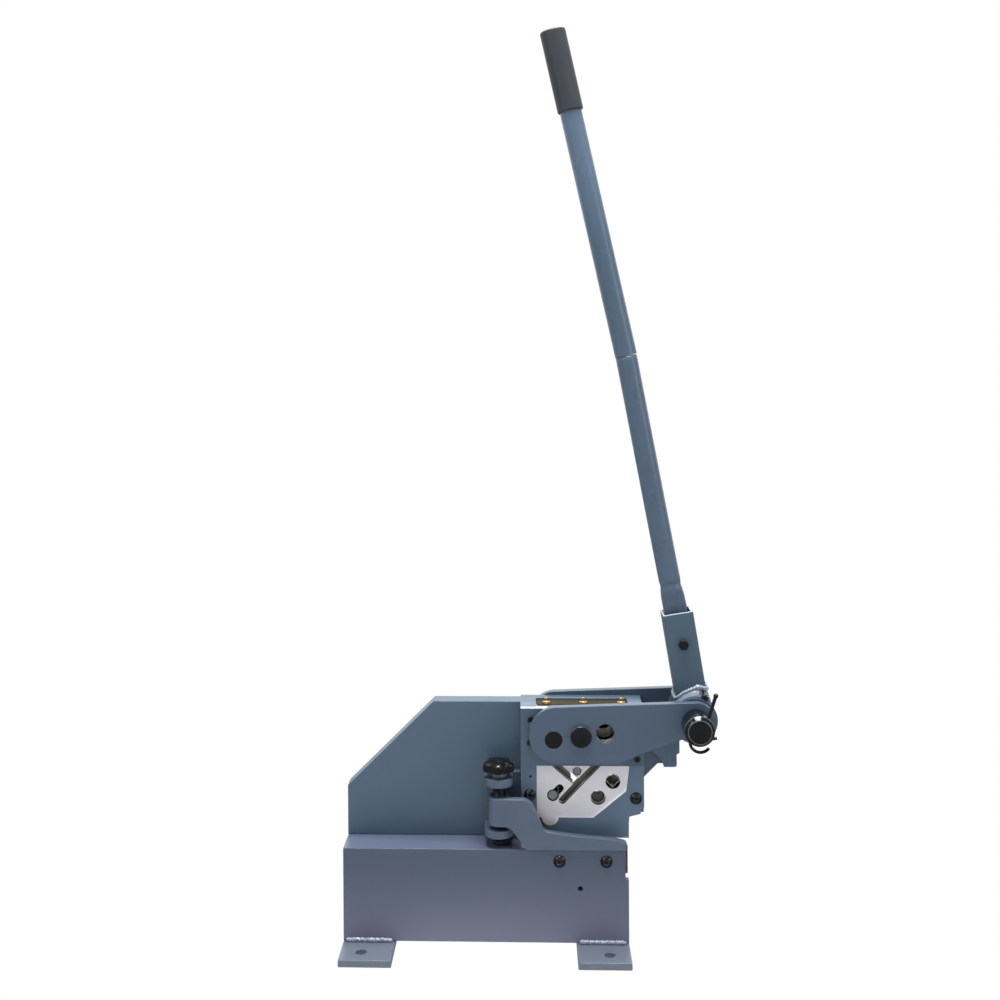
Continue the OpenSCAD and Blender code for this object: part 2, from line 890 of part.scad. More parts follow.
// Plate that takes the crank's thrust: the roller runs in its open fork
module reaction_bracket() {
  foot_x = head_x1 + 10;
  color(paint)
    difference() {
      layer(bracket_y, bracket_t)
        difference() {
          polygon([
            [foot_x, ear_z0 + 22],
            [foot_x + 18, ear_z0 + 5],
            [ear_x1 + 0.5, ear_z0 - 2],
            [ear_x1 + 17, ear_z0 - 2],
            [ear_x1 + 19, ear_z0],
            [ear_x1 + 19, ear_z0 + 16],
            [fork_x1, ear_z0 + 18],
            [fork_x1, crank_z + fork_gap + 11],
            [ear_x1 + 6, crank_z + fork_gap + 14],
            [foot_x, crank_z + fork_gap + 2],
          ]);
          slot_2d([fork_x1 - 3, crank_z], [fork_x1 + 20, crank_z], 2 * fork_gap);
          slot_2d([hub_x - crank_r - roller_r + fork_gap - 1, crank_z], [fork_x1, crank_z], 2 * fork_gap);
        }
      for (at = bracket_bolt_at)
        bar_y(at[0], at[1], 3, bracket_y - over, frame_y + over);
    }
}

module bracket_bolts() {
  color(black)
    for (at = bracket_bolt_at)
      bar_y(at[0], at[1], 3, bracket_y, frame_y + 12);
}

// A lever arm with its bores for the fulcrum, the drive pin, the spare bush and the shaft
module lever_arm(y) {
  difference() {
    arm_blank(y);
    bar_y(fulcrum_x, fulcrum_z, pin_r + fit, y - over, y + arm_t + over);
    bar_y(drive_x, drive_z, pin_r, y - over, y + arm_t + over);
    bar_y(spare_x, spare_z, bush_r + bush_wall, y - over, y + arm_t + over);
    bar_y(hub_x, hub_z, shaft_r + fit, y - over, y + arm_t + over);
  }
}

module front_arm() {
  color(paint)
    lever_arm(front_arm_y);
}

module rear_arm() {
  color(paint)
    lever_arm(rear_arm_y);
}

module arm_bushes() {
  color(bare)
    for (y = [front_arm_y, rear_arm_y])
      difference() {
        bar_y(spare_x, spare_z, bush_r + bush_wall, y + 0.5, y + arm_t - 0.5);
        bar_y(spare_x, spare_z, bush_r, y - over, y + arm_t + over);
      }
}

clip_t = 2;

module fulcrum_pin() {
  color(black)
    bar_y(fulcrum_x, fulcrum_z, pin_r, front_arm_y + 1, arms_back_y + clip_t + 3);
}

// Pin with a domed head, fixed in both arms; it pushes the slide
module drive_pin() {
  dome = 3;
  dome_r = (drive_head_r * drive_head_r + dome * dome) / (2 * dome);
  color(black)
    union() {
      bar_y(drive_x, drive_z, pin_r, front_arm_y, arms_back_y + clip_t + 3);
      bar_y(drive_x, drive_z, drive_head_r, front_arm_y - 4, front_arm_y);
      intersection() {
        bar_y(drive_x, drive_z, drive_head_r, front_arm_y - 4 - dome, front_arm_y - 4);
        translate([drive_x, front_arm_y - 4 - dome + dome_r, drive_z])
          sphere(r = dome_r);
      }
    }
}

// Retaining ring of a pin, behind the rear arm
module pin_clip(x, z) {
  difference() {
    bar_y(x, z, pin_r + 3, arms_back_y + rest_gap, arms_back_y + rest_gap + clip_t);
    bar_y(x, z, pin_r, arms_back_y - over, arms_back_y + clip_t + over);
  }
}

module fulcrum_clip() {
  color(bare)
    pin_clip(fulcrum_x, fulcrum_z);
}

module drive_clip() {
  color(bare)
    pin_clip(drive_x, drive_z);
}

// Two discs on one core; the groove between them clears the reaction bracket
module hub() {
  color(paint)
    difference() {
      bar_y(hub_x, hub_z, hub_r, hub_y0, hub_y1);
      difference() {
        bar_y(hub_x, hub_z, hub_r + over, groove_y0, groove_y1);
        bar_y(hub_x, hub_z, core_r, groove_y0 - over, groove_y1 + over);
      }
      bar_y(hub_x, hub_z, shaft_r, hub_y0 - over, hub_y1 + over);
      bar_y(crank_x, crank_z, crank_pin_r, groove_y0 - 12, groove_y1 + 12);
      lock_line(lock_head_r, lock_seat, hub_r + over);
      lock_line(lock_head_r / 2, shaft_r - over, lock_seat + over);
    }
}

nose_y = front_arm_y - arm_gap;
nose_face_y = nose_y - nose_len;
nose_bevel = 4.8;

module hub_shaft() {
  color(black)
    difference() {
      translate([hub_x, nose_face_y, hub_z])
        rotate([-90, 0, 0])
          rotate_extrude()
            polygon([
              [0, 0], [nose_r - nose_bevel, 0], [nose_r, 5], [nose_r, nose_len],
              [shaft_r, nose_len], [shaft_r, arms_back_y + 10 - nose_face_y],
              [0, arms_back_y + 10 - nose_face_y],
            ]);
      nose_rod_line(rod_r, 0, nose_r + 4);
      clip_wire();
    }
}

module shaft_collar() {
  color(black)
    difference() {
      bar_y(hub_x, hub_z, shaft_r + 8, arms_back_y + arm_gap, arms_back_y + 9);
      bar_y(hub_x, hub_z, shaft_r, arms_back_y, arms_back_y + 10);
    }
}

module crank_pin() {
  color(black)
    bar_y(crank_x, crank_z, crank_pin_r, groove_y0 - 11.5, groove_y1 + 11.5);
}

module crank_roller() {
  color(bare)
    difference() {
      bar_y(crank_x, crank_z, roller_r, groove_y0 + 0.5, groove_y1 - 0.5);
      bar_y(crank_x, crank_z, crank_pin_r + fit, groove_y0 - over, groove_y1 + over);
    }
}

socket_y = (hub_y0 + hub_y1) / 2;

// Outline of the socket's foot, raised along the socket's own axis
module socket_shape(w, d, z0, z1) {
  leaning(hub_x, hub_z, socket_lean)
    block([socket_shift - w / 2, socket_y - d / 2, z0], [socket_shift + w / 2, socket_y + d / 2, z1]);
}

// One pass of the weld round the socket's foot: how far it rises on the hub and stands out
module weld_pass(rise, aside, ahead) {
  intersection() {
    bar_y(hub_x, hub_z, hub_r + rise, hub_y0 + 1, hub_y1 - 1);
    socket_shape(socket_w + 2 * aside, socket_d + 2 * ahead, 8, hub_r + rise);
  }
}

// Fillet in two passes round the socket's foot, on the hub
module hub_weld() {
  color(bare)
    difference() {
      union() {
        weld_pass(7, 6, 12);
        weld_pass(15, 5.5, 6);
      }
      bar_y(hub_x, hub_z, hub_r, hub_y0 - over, hub_y1 + over);
      socket_shape(socket_w, socket_d, 0, hub_r + 20);
      lock_line(lock_head_r, lock_seat, hub_r + 20);
    }
}

lock_y = hub_y0 + 6.5;
lock_angle = 64.6;
lock_seat = hub_r - 2;
lock_head_r = 5.5;
lock_top = hub_r + 6;

// A radial cylinder in the hub's front disc, along the lock screw
module lock_line(r, low, high) {
  translate([hub_x, lock_y, hub_z])
    rotate([0, 90 - lock_angle, 0])
      translate([0, 0, low])
        cylinder(r = r, h = high - low);
}

// Cap screw that locks the hub to the shaft
module hub_lock_screw() {
  color(black)
    difference() {
      union() {
        lock_line(lock_head_r, lock_seat, lock_top);
        lock_line(lock_head_r / 2, shaft_r + 1, lock_seat);
      }
      translate([hub_x, lock_y, hub_z])
        rotate([0, 90 - lock_angle, 0])
          translate([0, 0, lock_top - 4])
            cylinder(r = 2.9, h = 4 + over, $fn = 6);
    }
}

module handle_socket() {
  color(paint)
    difference() {
      socket_shape(socket_w, socket_d, 12, socket_len);
      socket_shape(socket_w - 2 * socket_wall, socket_d - 2 * socket_wall, 0, socket_len + over);
      bar_y(hub_x, hub_z, hub_r, hub_y0 - over, hub_y1 + over);
      socket_bolt_bore(bolt_r);
    }
}

module socket_bolt_bore(r) {
  leaning(hub_x, hub_z, socket_lean)
    bar_y(socket_shift, socket_bolt_h, r, socket_y - socket_d, socket_y + socket_d);
}

// Two tubes on the socket bolt that centre the flattened handle in the socket
module socket_spacers() {
  inner = socket_d / 2 - socket_wall;
  color(bare)
    leaning(hub_x, hub_z, socket_lean)
      for (side = [-1, 1])
        difference() {
          bar_y(
            socket_shift, socket_bolt_h, bolt_r + 3,
            socket_y + min(side * inner, side * flat_t / 2),
            socket_y + max(side * inner, side * flat_t / 2)
          );
          bar_y(socket_shift, socket_bolt_h, bolt_r, socket_y - socket_d, socket_y + socket_d);
        }
}

// Hexagon bolt through the socket and the flattened tube, with its nut behind
module socket_bolt() {
  half = socket_d / 2;
  color(black)
    leaning(hub_x, hub_z, socket_lean)
      union() {
        bar_y(socket_shift, socket_bolt_h, bolt_r, socket_y - half, socket_y + half + 9);
        translate([socket_shift, socket_y - half, socket_bolt_h])
          rotate([90, 0, 0])
            cylinder(r = 7.6, h = 6, $fn = 6);
        translate([socket_shift, socket_y + half + 7, socket_bolt_h])
          rotate([90, 0, 0])
            cylinder(r = 7.6, h = 7, $fn = 6);
      }
}

// Middle of the socket bolt, where the handle is held
bolt_x = hub_x + socket_shift * cos(socket_lean) - socket_bolt_h * sin(socket_lean);
bolt_z = hub_z + socket_shift * sin(socket_lean) + socket_bolt_h * cos(socket_lean);
seam_x = bolt_x - lower_tube_len * sin(lower_lean);
seam_z = bolt_z + lower_tube_len * cos(lower_lean);

// Rounded flat bar, as a pressed tube end
module flat_end(z0, z1) {
  half = (flat_w - flat_t) / 2;
  union() {
    block([-half, -flat_t / 2, z0], [half, flat_t / 2, z1]);
    for (side = [-1, 1])
      translate([side * half, 0, z0])
        cylinder(r = flat_t / 2, h = z1 - z0);
  }
}

// Lower handle tube: flattened where it enters the socket, with a spigot for the upper tube
module lower_tube() {
  press = 16;
  step = 0.4;
  seat = 0.5;
  color(paint)
    union() {
      difference() {
        translate([bolt_x, socket_y, bolt_z])
          rotate([0, -lower_lean, 0])
            union() {
              flat_end(-24, flat_len);
              hull() {
                translate([0, 0, flat_len - seat])
                  scale([(flat_w - step) / (flat_t - step), 1, 1])
                    cylinder(d = flat_t - step, h = seat, $fn = 32);
                translate([0, 0, flat_len + press])
                  cylinder(r = lower_tube_r - step / 2, h = seat, $fn = 32);
              }
              translate([0, 0, flat_len + press])
                cylinder(r = lower_tube_r, h = lower_tube_len - flat_len - press);
            }
        translate([bolt_x, socket_y, bolt_z])
          rotate([0, -lower_lean, 0])
            translate([0, 0, flat_len + press + 4])
              cylinder(r = lower_tube_r - tube_wall, h = lower_tube_len);
        socket_bolt_bore(bolt_r);
      }
      difference() {
        translate([seam_x, socket_y, seam_z])
          rotate([0, -upper_lean, 0])
            translate([0, 0, -20])
              cylinder(r = upper_tube_r - tube_wall - fit, h = spigot_len + 20);
        translate([seam_x, socket_y, seam_z])
          rotate([0, -upper_lean, 0])
            translate([0, 0, -30])
              cylinder(r = upper_tube_r - 2 * tube_wall - fit, h = spigot_len + 40);
      }
    }
}

module upper_tube() {
  color(paint)
    translate([seam_x, socket_y, seam_z])
      rotate([0, -upper_lean, 0])
        difference() {
          translate([0, 0, 0.6])
            cylinder(r = upper_tube_r, h = upper_len - 5.6);
          translate([0, 0, 0])
            cylinder(r = upper_tube_r - tube_wall, h = upper_len);
        }
}

// Rubber grip with a closed, rounded end
module grip() {
  color(black)
    translate([seam_x, socket_y, seam_z])
      rotate([0, -upper_lean, 0])
        translate([0, 0, upper_len - grip_len])
          rotate_extrude()
            difference() {
              union() {
                square([grip_r - 3, grip_len]);
                translate([0, 3])
                  square([grip_r, grip_len - 6]);
                for (z = [3, grip_len - 3])
                  translate([grip_r - 3, z])
                    circle(r = 3, $fn = 32);
              }
              translate([-over, -over])
                square([upper_tube_r + over, grip_len - 4]);
              translate([-grip_r, -over])
                square([grip_r, grip_len + 2 * over]);
            }
}

// A lug with a round front, from the spine to the screw
module lug(z) {
  spine_front = frame_y - spine_t;
  union() {
    translate([screw_x, screw_y, z])
      cylinder(r = lug_r, h = lug_t);
    block([screw_x - lug_r, screw_y, z], [screw_x + lug_r, spine_front + over, z + lug_t]);
  }
}

// Forged bracket for the hold-down screw: a spine on the frame plate and two lugs
module hold_down_bracket() {
  color(paint)
    difference() {
      union() {
        block(
          [screw_x - lug_r, frame_y - spine_t, base_top],
          [min(screw_x - lug_r + spine_w, head_x0 + 3), frame_y, upper_lug_z + lug_t]
        );
        lug(upper_lug_z);
        lug(lower_lug_z);
      }
      translate([screw_x, screw_y, base_top])
        cylinder(r = screw_r + fit, h = upper_lug_z + lug_t);
      block(
        [head_x0 - rest_gap, guide_y - over, guide_bottom],
        [head_x0 + 10, frame_y + over, head_top]
      );
    }
}

module hold_down_screw() {
  color(black)
    translate([screw_x, screw_y, base_top + 3])
      cylinder(r = screw_r, h = knob_z0 - base_top + 6);
}

// Bright nut that locks the knob on the screw and seats on the upper lug
module screw_nut() {
  color(bare)
    translate([screw_x, screw_y, upper_lug_z + lug_t + rest_gap])
      difference() {
        cylinder(r = screw_r + 3, h = knob_z0 - upper_lug_z - lug_t - rest_gap, $fn = 6);
        translate([0, 0, -over])
          cylinder(r = screw_r, h = knob_h);
      }
}

// Hand knob with five lobes, one of them to the front
module hold_down_knob() {
  lobe = 7.5;
  color(black)
    translate([screw_x, screw_y, knob_z0])
      difference() {
        union() {
          cylinder(r = knob_r - 5, h = knob_h);
          for (i = [0:4])
            rotate(72 * i - 90)
              translate([knob_r - lobe, 0, 0])
                cylinder(r = lobe, h = knob_h - 3);
        }
        translate([0, 0, -over])
          cylinder(r = screw_r, h = 9 + over);
      }
}

// Z-shaped arm that clamps the stock on the base: a round head on the screw and a long low bar
module hold_down_arm() {
  low = base_top + rest_gap;
  right = base_x1 - 3.5;
  color(paint)
    difference() {
      union() {
        layer(hold_y, hold_t)
          polygon([
            [screw_x, hold_z0],
            [head_x0 - 21, hold_z0],
            [head_x0 - 13, hold_z0 - 4],
            [head_x0 + 8, low],
            [right, low],
            [right, low + 12],
            [base_x1 - 26, low + 17],
            [base_x1 - 66, low + 19.5],
            [slot_x0 + 14, low + 25.5],
            [slot_x0 + 9, low + 28],
            [slot_x0 - 1, low + 52],
            [slot_x0 - 6.5, low + 64],
            [slot_x0 - 13, hold_z0 + hold_head_h - 1.5],
            [slot_x0 - 18, hold_z0 + hold_head_h],
            [screw_x, hold_z0 + hold_head_h],
          ]);
        translate([screw_x, screw_y, hold_z0])
          cylinder(r = hold_head_r, h = hold_head_h);
        block(
          [screw_x - hold_head_r, hold_y + hold_head_r, hold_z0],
          [screw_x + hold_head_r, screw_y, hold_z0 + hold_head_h]
        );
        translate([screw_x, hold_y + hold_head_r, hold_z0])
          cylinder(r = hold_head_r, h = hold_head_h);
      }
      translate([screw_x, screw_y, hold_z0 - over])
        cylinder(r = screw_r + fit, h = hold_head_h + 2 * over);
    }
}

pins_y = nose_face_y + pins_inset;
bow_at = [hub_x + 2.4, hub_z - 17.9];
bow_start = 186.6;
bow_turn = 138;
leg_at = bow_at + bow_r * [cos(bow_start), sin(bow_start)];
leg_len = 37.6;

// The rod's line through the nose, from below its middle to the given height
module nose_rod_line(r, z0, z1) {
  translate([hub_x + rod_shift, pins_y, hub_z])
    rotate([0, rod_lean, 0])
      translate([0, 0, z0])
        cylinder(r = r, h = z1 - z0);
}

// The clip's wire: a straight leg through the lower part of the nose and a bow under it
module clip_wire() {
  union() {
    translate([leg_at[0], pins_y, leg_at[1]])
      rotate([0, 90 - clip_slope, 0])
        cylinder(r = wire_r, h = leg_len);
    translate([leg_at[0], pins_y, leg_at[1]])
      sphere(r = wire_r);
    translate([bow_at[0], pins_y, bow_at[1]])
      rotate([90, 0, 0])
        rotate([0, 0, bow_start])
          rotate_extrude(angle = bow_turn)
            translate([bow_r, 0])
              circle(r = wire_r, $fn = 48);
  }
}

// Short rod with a round end that stands in a blind hole of the nose
module nose_rod() {
  color(black)
    union() {
      nose_rod_line(rod_r, 0, rod_up / cos(rod_lean));
      translate([hub_x + rod_shift, pins_y, hub_z])
        rotate([0, rod_lean, 0])
          translate([0, 0, rod_up / cos(rod_lean)])
            sphere(r = rod_r + 1);
    }
}

module hairpin_clip() {
  color(black)
    clip_wire();
}

left_foot();
right_foot();
foot_welds();
base_channel();
base_screw();
blade_spacer();
lower_blade();
lower_blade_bolts();
lower_blade_nuts();
frame_plate();
left_guide_strip();
right_guide_strip();
apron_plate();
section_guide_plate();
front_cover_band();
rear_cover_band();
cover_bolts();
strip_bolts();
locating_pins();
slide();
moving_section_blade();
upper_blade();
blade_screws();
oilers();
reaction_bracket();
bracket_bolts();
front_arm();
rear_arm();
arm_bushes();
fulcrum_pin();
fulcrum_clip();
drive_pin();
drive_clip();
hub();
hub_lock_screw();
hub_shaft();
shaft_collar();
crank_pin();
crank_roller();
hub_weld();
nose_rod();
hairpin_clip();
handle_socket();
socket_bolt();
socket_spacers();
lower_tube();
upper_tube();
grip();
hold_down_bracket();
hold_down_screw();
screw_nut();
hold_down_knob();
hold_down_arm();
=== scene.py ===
import math
import bmesh
import bpy
import numpy as np
from mathutils import Matrix


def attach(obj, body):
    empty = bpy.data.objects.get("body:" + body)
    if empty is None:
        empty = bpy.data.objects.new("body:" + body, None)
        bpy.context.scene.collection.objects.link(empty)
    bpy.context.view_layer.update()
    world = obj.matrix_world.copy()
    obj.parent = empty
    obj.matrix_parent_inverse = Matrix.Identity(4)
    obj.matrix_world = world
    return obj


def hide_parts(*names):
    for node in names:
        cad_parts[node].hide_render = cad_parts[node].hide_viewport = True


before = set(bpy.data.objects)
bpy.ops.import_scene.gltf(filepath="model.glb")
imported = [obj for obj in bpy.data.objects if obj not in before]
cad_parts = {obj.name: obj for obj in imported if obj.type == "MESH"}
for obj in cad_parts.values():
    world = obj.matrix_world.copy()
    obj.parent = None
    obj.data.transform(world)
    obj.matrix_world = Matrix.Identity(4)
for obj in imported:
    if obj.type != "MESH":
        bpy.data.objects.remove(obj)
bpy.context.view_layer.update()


# The camera. It stands 1.9 m in front of the machine at eye height for a bench, level,
# and a shift of the lens brings the machine into the picture without tilting it. Its place
# is in metres and its turns are in degrees.
eye_at = (0.06489, -1.86724, 0.84335)
eye_turn, eye_pitch, eye_roll = 2.207, -0.054, -0.349

camera = bpy.data.cameras.new("camera")
camera.lens = 46.69
camera.sensor_width = 36.0
camera.shift_x = 0.02131
camera.shift_y = -0.15226
eye = bpy.data.objects.new("camera", camera)
bpy.context.scene.collection.objects.link(eye)
eye.matrix_world = (
    Matrix.Translation(eye_at)
    @ Matrix.Rotation(math.radians(eye_turn), 4, "Z")
    @ Matrix.Rotation(math.radians(90.0 + eye_pitch), 4, "X")
    @ Matrix.Rotation(math.radians(eye_roll), 4, "Z")
)
bpy.context.scene.camera = eye
bpy.context.scene.view_settings.view_transform = "Standard"


# The studio. A white tent of soft light: the camera sees plain white, and the surfaces get an
# even, weaker light with three large lamps to model the forms. Reflections see a tent that is
# dim round the camera and bright behind the machine, which draws light lines along its edges.
def put(tree, kind, sockets=None, **settings):
    """Adds one node, gives it its settings, and sets each of its inputs or links it to an output.
    Where inputs are numbered, a Map Range has the value, the two ends that it comes from and the
    two that it goes to, and a Mix has the share, at 2 and 3 two numbers, at 6 and 7 two colours."""
    new = tree.nodes.new(kind)
    for key, value in settings.items():
        setattr(new, key, value)
    for key, value in (sockets or {}).items():
        if isinstance(value, bpy.types.NodeSocket):
            tree.links.new(value, new.inputs[key])
        else:
            new.inputs[key].default_value = value
    return new


tent_light = 0.40
tent_front, tent_back = 0.3, 1.6
world = bpy.data.worlds.new("white tent")
bpy.context.scene.world = world
world.use_nodes = True
sky = world.node_tree
sky.nodes.clear()
path = put(sky, "ShaderNodeLightPath")
aim = put(sky, "ShaderNodeTexCoord")
aim = put(sky, "ShaderNodeSeparateXYZ", {0: aim.outputs["Generated"]})
# Y is -1 straight towards the camera and 1 straight behind the machine.
behind = put(sky, "ShaderNodeMapRange", {
    0: aim.outputs[1], 1: 0.1, 2: 0.9, 3: tent_front, 4: tent_back,
})
level = put(sky, "ShaderNodeMix", {
    0: path.outputs["Is Glossy Ray"], 2: tent_light, 3: behind.outputs[0],
})
level = put(sky, "ShaderNodeMix", {0: path.outputs["Is Camera Ray"], 2: level.outputs[0], 3: 1.0})
tent = put(sky, "ShaderNodeBackground", {"Color": (1, 1, 1, 1), "Strength": level.outputs[0]})
put(sky, "ShaderNodeOutputWorld", {"Surface": tent.outputs[0]})


def softbox(name, at, towards, width, watts):
    """A square lamp of one width in metres at a place, facing another place."""
    lamp = bpy.data.lights.new(name, "AREA")
    lamp.shape = "SQUARE"
    lamp.size = width
    lamp.energy = watts
    box = bpy.data.objects.new(name, lamp)
    bpy.context.scene.collection.objects.link(box)
    back = np.array(at) - np.array(towards)
    back /= np.linalg.norm(back)
    side = np.cross((0.0, 0.0, 1.0), back)
    side /= np.linalg.norm(side)
    up = np.cross(back, side)
    turned = Matrix(((*side, 0), (*up, 0), (*back, 0), (0, 0, 0, 1))).transposed()
    box.matrix_world = Matrix.Translation(at) @ turned


softbox("left softbox", (-1.9, -1.7, 2.3), (0.0, 0.0, 0.3), 1.3, 24.0)
softbox("right softbox", (2.3, -1.2, 1.3), (0.1, 0.0, 0.3), 1.2, 12.0)
softbox("top softbox", (0.1, -0.2, 3.0), (0.1, 0.0, 0.2), 1.4, 160.0)


# The floor. A white paper sweep, lit through from below: it throws light up at the machine,
# and the camera sees it plain white, without a shadow. Reflections see it dimmed.
def linear(colour):
    """A hex colour as linear light: each channel c becomes c / 12.92 up to 0.04045,
    and ((c + 0.055) / 1.055) to the power 2.4 above it."""
    c = np.array([int(colour[i:i + 2], 16) / 255 for i in (1, 3, 5)])
    c = np.where(c <= 0.04045, c / 12.92, ((c + 0.055) / 1.055) ** 2.4)
    return (*c.tolist(), 1.0)


def solid(name, parts, material):
    """One object from (points in millimetres, faces) pairs. Doubles are merged and the faces
    turned outwards."""
    mesh = bpy.data.meshes.new(name)
    points, faces, first = [], [], 0
    for part_points, part_faces in parts:
        points += (np.asarray(part_points, float) / 1000.0).tolist()
        faces += (np.asarray(part_faces) + first).tolist()
        first += len(part_points)
    mesh.from_pydata(points, [], faces)
    shape = bmesh.new()
    shape.from_mesh(mesh)
    bmesh.ops.remove_doubles(shape, verts=shape.verts, dist=1e-7)
    bmesh.ops.dissolve_degenerate(shape, edges=shape.edges, dist=1e-8)
    bmesh.ops.recalc_face_normals(shape, faces=shape.faces)
    shape.to_mesh(mesh)
    shape.free()
    mesh.polygons.foreach_set("use_smooth", np.ones(len(mesh.polygons), bool))
    mesh.materials.append(material)
    piece = bpy.data.objects.new(name, mesh)
    bpy.context.scene.collection.objects.link(piece)
    return piece


def blank(name):
    """A new material with an empty tree, and its tree."""
    material = bpy.data.materials.new(name)
    material.use_nodes = True
    material.node_tree.nodes.clear()
    return material, material.node_tree


paper, tree = blank("white paper sweep")
path = put(tree, "ShaderNodeLightPath")
matt = put(tree, "ShaderNodeBsdfDiffuse", {"Color": linear("#F6F6F8")})
dimmed = 0.25
shine = put(tree, "ShaderNodeMapRange", {0: path.outputs["Is Camera Ray"], 3: dimmed, 4: 1.0})
glow = put(tree, "ShaderNodeEmission", {"Color": (1, 1, 1, 1), "Strength": shine.outputs[0]})
seen = put(tree, "ShaderNodeMath", {
    0: path.outputs["Is Camera Ray"], 1: path.outputs["Is Glossy Ray"],
}, operation="MAXIMUM")
both = put(tree, "ShaderNodeMixShader", {
    0: seen.outputs[0], 1: matt.outputs[0], 2: glow.outputs[0],
})
put(tree, "ShaderNodeOutputMaterial", {"Surface": both.outputs[0]})
half = 4000.0
corners = [(-half, -half, 0), (half, -half, 0), (half, half, 0), (-half, half, 0)]
floor = solid("floor", [(corners, [(0, 1, 2, 3)])], paper)


# The feet and the base channel. Hot-rolled flat bar and folded plate, sprayed with one
# coat of blue-grey enamel over the mill surface; the edges are ground round. The front wall
# is painted paler and a little violet towards the ground: a painted glow of light from the floor.
def enamel(name, body, light, roughness=0.34):
    """Sprayed enamel: a plain colour with faint clouds some 70 mm across, an orange-peel skin of
    1.6 mm cells (drawn at 3 mm, so that it shows), and a thinner, paler film along the edges."""
    material, tree = blank(name)
    where = put(tree, "ShaderNodeTexCoord")
    clouds = put(tree, "ShaderNodeTexNoise", {
        "Vector": where.outputs["Object"], "Scale": 14.0, "Detail": 3.0,
    })
    thin = put(tree, "ShaderNodeNewGeometry")
    edge = put(tree, "ShaderNodeMapRange", {0: thin.outputs["Pointiness"], 1: 0.52, 2: 0.60})
    cloudy = put(tree, "ShaderNodeMapRange", {
        0: clouds.outputs[0], 1: 0.3, 2: 0.7, 3: 0.0, 4: 0.22,
    })
    share = put(tree, "ShaderNodeMath", {0: edge.outputs[0], 1: 0.45}, operation="MULTIPLY")
    share = put(tree, "ShaderNodeMath", {
        0: share.outputs[0], 1: cloudy.outputs[0],
    }, operation="MAXIMUM")
    tint = put(tree, "ShaderNodeMix", {
        0: share.outputs[0], 6: linear(body), 7: linear(light),
    }, data_type="RGBA")
    peel = put(tree, "ShaderNodeTexNoise", {
        "Vector": where.outputs["Object"], "Scale": 330.0, "Detail": 1.5,
    })
    bump = put(tree, "ShaderNodeBump", {
        "Height": peel.outputs[0], "Strength": 0.16, "Distance": 0.0004,
    })
    gloss = put(tree, "ShaderNodeMapRange", {
        0: clouds.outputs[0], 3: roughness - 0.05, 4: roughness + 0.07,
    })
    film = put(tree, "ShaderNodeBsdfPrincipled", {
        "Base Color": tint.outputs[2], "Roughness": gloss.outputs[0], "Normal": bump.outputs[0],
        "IOR": 1.5, "Specular IOR Level": 0.32,
    })
    put(tree, "ShaderNodeOutputMaterial", {"Surface": film.outputs[0]})
    return material


def dress(names, material, edge_mm=0.0):
    """Gives CAD nodes their material. Loose triangles are joined, flat faces made whole, and
    the sharp edges rounded by edge_mm, with the normals of the large faces kept flat."""
    for name in names:
        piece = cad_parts[name]
        piece.data.materials.clear()
        piece.data.materials.append(material)
        piece.data.polygons.foreach_set("use_smooth", np.ones(len(piece.data.polygons), bool))
        join = piece.modifiers.new("join", "WELD")
        join.merge_threshold = 0.00001
        if edge_mm > 0:
            whole = piece.modifiers.new("whole", "DECIMATE")
            whole.decimate_type = "DISSOLVE"
            whole.angle_limit = math.radians(0.8)
            soft = piece.modifiers.new("edge", "BEVEL")
            soft.width = edge_mm / 1000.0
            soft.segments = 2
            soft.limit_method = "ANGLE"
            soft.angle_limit = math.radians(38)
            soft.use_clamp_overlap = False
        split = piece.modifiers.new("split", "EDGE_SPLIT")
        split.split_angle = math.radians(50)
        keep = piece.modifiers.new("keep", "WEIGHTED_NORMAL")
        keep.weight = 80
        keep.keep_sharp = True


def facing(tree, axis, none, full):
    """How far a surface looks along Y (axis 1) or Z (axis 2): 0 where its normal's part on that
    axis is none, and 1 where it is full."""
    normal = put(tree, "ShaderNodeNewGeometry")
    normal = put(tree, "ShaderNodeSeparateXYZ", {0: normal.outputs["Normal"]})
    return put(tree, "ShaderNodeMapRange", {0: normal.outputs[axis], 1: none, 2: full}).outputs[0]


def recolour(tree, share, at_0=None, at_1=None):
    """Mixes a finished material's own colour with another by a share that varies over the
    surface, and returns its shader. The end that is not given keeps the material's own colour."""
    shader = next(n for n in tree.nodes if n.bl_idname == "ShaderNodeBsdfPrincipled")
    own = shader.inputs["Base Color"].links[0].from_socket
    mixed = put(tree, "ShaderNodeMix", {
        0: share, 6: own if at_0 is None else at_0, 7: own if at_1 is None else at_1,
    }, data_type="RGBA")
    tree.links.new(mixed.outputs[2], shader.inputs["Base Color"])
    return shader


base_enamel_painted_glow = enamel("blue-grey enamel on folded plate, with a painted floor glow", "#4C5466", "#5B647A")
# The heights between which the front wall's painted floor glow grows, in metres, as every node
# measures.
wall_top, wall_foot = 0.130, 0.012
tree = base_enamel_painted_glow.node_tree
where = put(tree, "ShaderNodeTexCoord")
where = put(tree, "ShaderNodeSeparateXYZ", {0: where.outputs["Object"]})
low = put(tree, "ShaderNodeMapRange", {0: where.outputs[2], 1: wall_top, 2: wall_foot})
low = put(tree, "ShaderNodeMath", {0: low.outputs[0], 1: 1.6}, operation="POWER")
# Painted light: the front faces grow paler and a little violet towards the ground, a painted glow
# from the floor.
painted_floor_glow = put(tree, "ShaderNodeMix", {
    0: low.outputs[0], 6: linear("#434D5D"), 7: linear("#636577"),
}, data_type="RGBA")
recolour(tree, facing(tree, 1, -0.3, -0.7), at_1=painted_floor_glow.outputs[2])
foot_enamel = enamel("blue-grey enamel on flat bar", "#565D69", "#676F7D")
dress(["left_foot", "right_foot"], foot_enamel, 1.2)
dress(["base_channel"], base_enamel_painted_glow, 1.0)


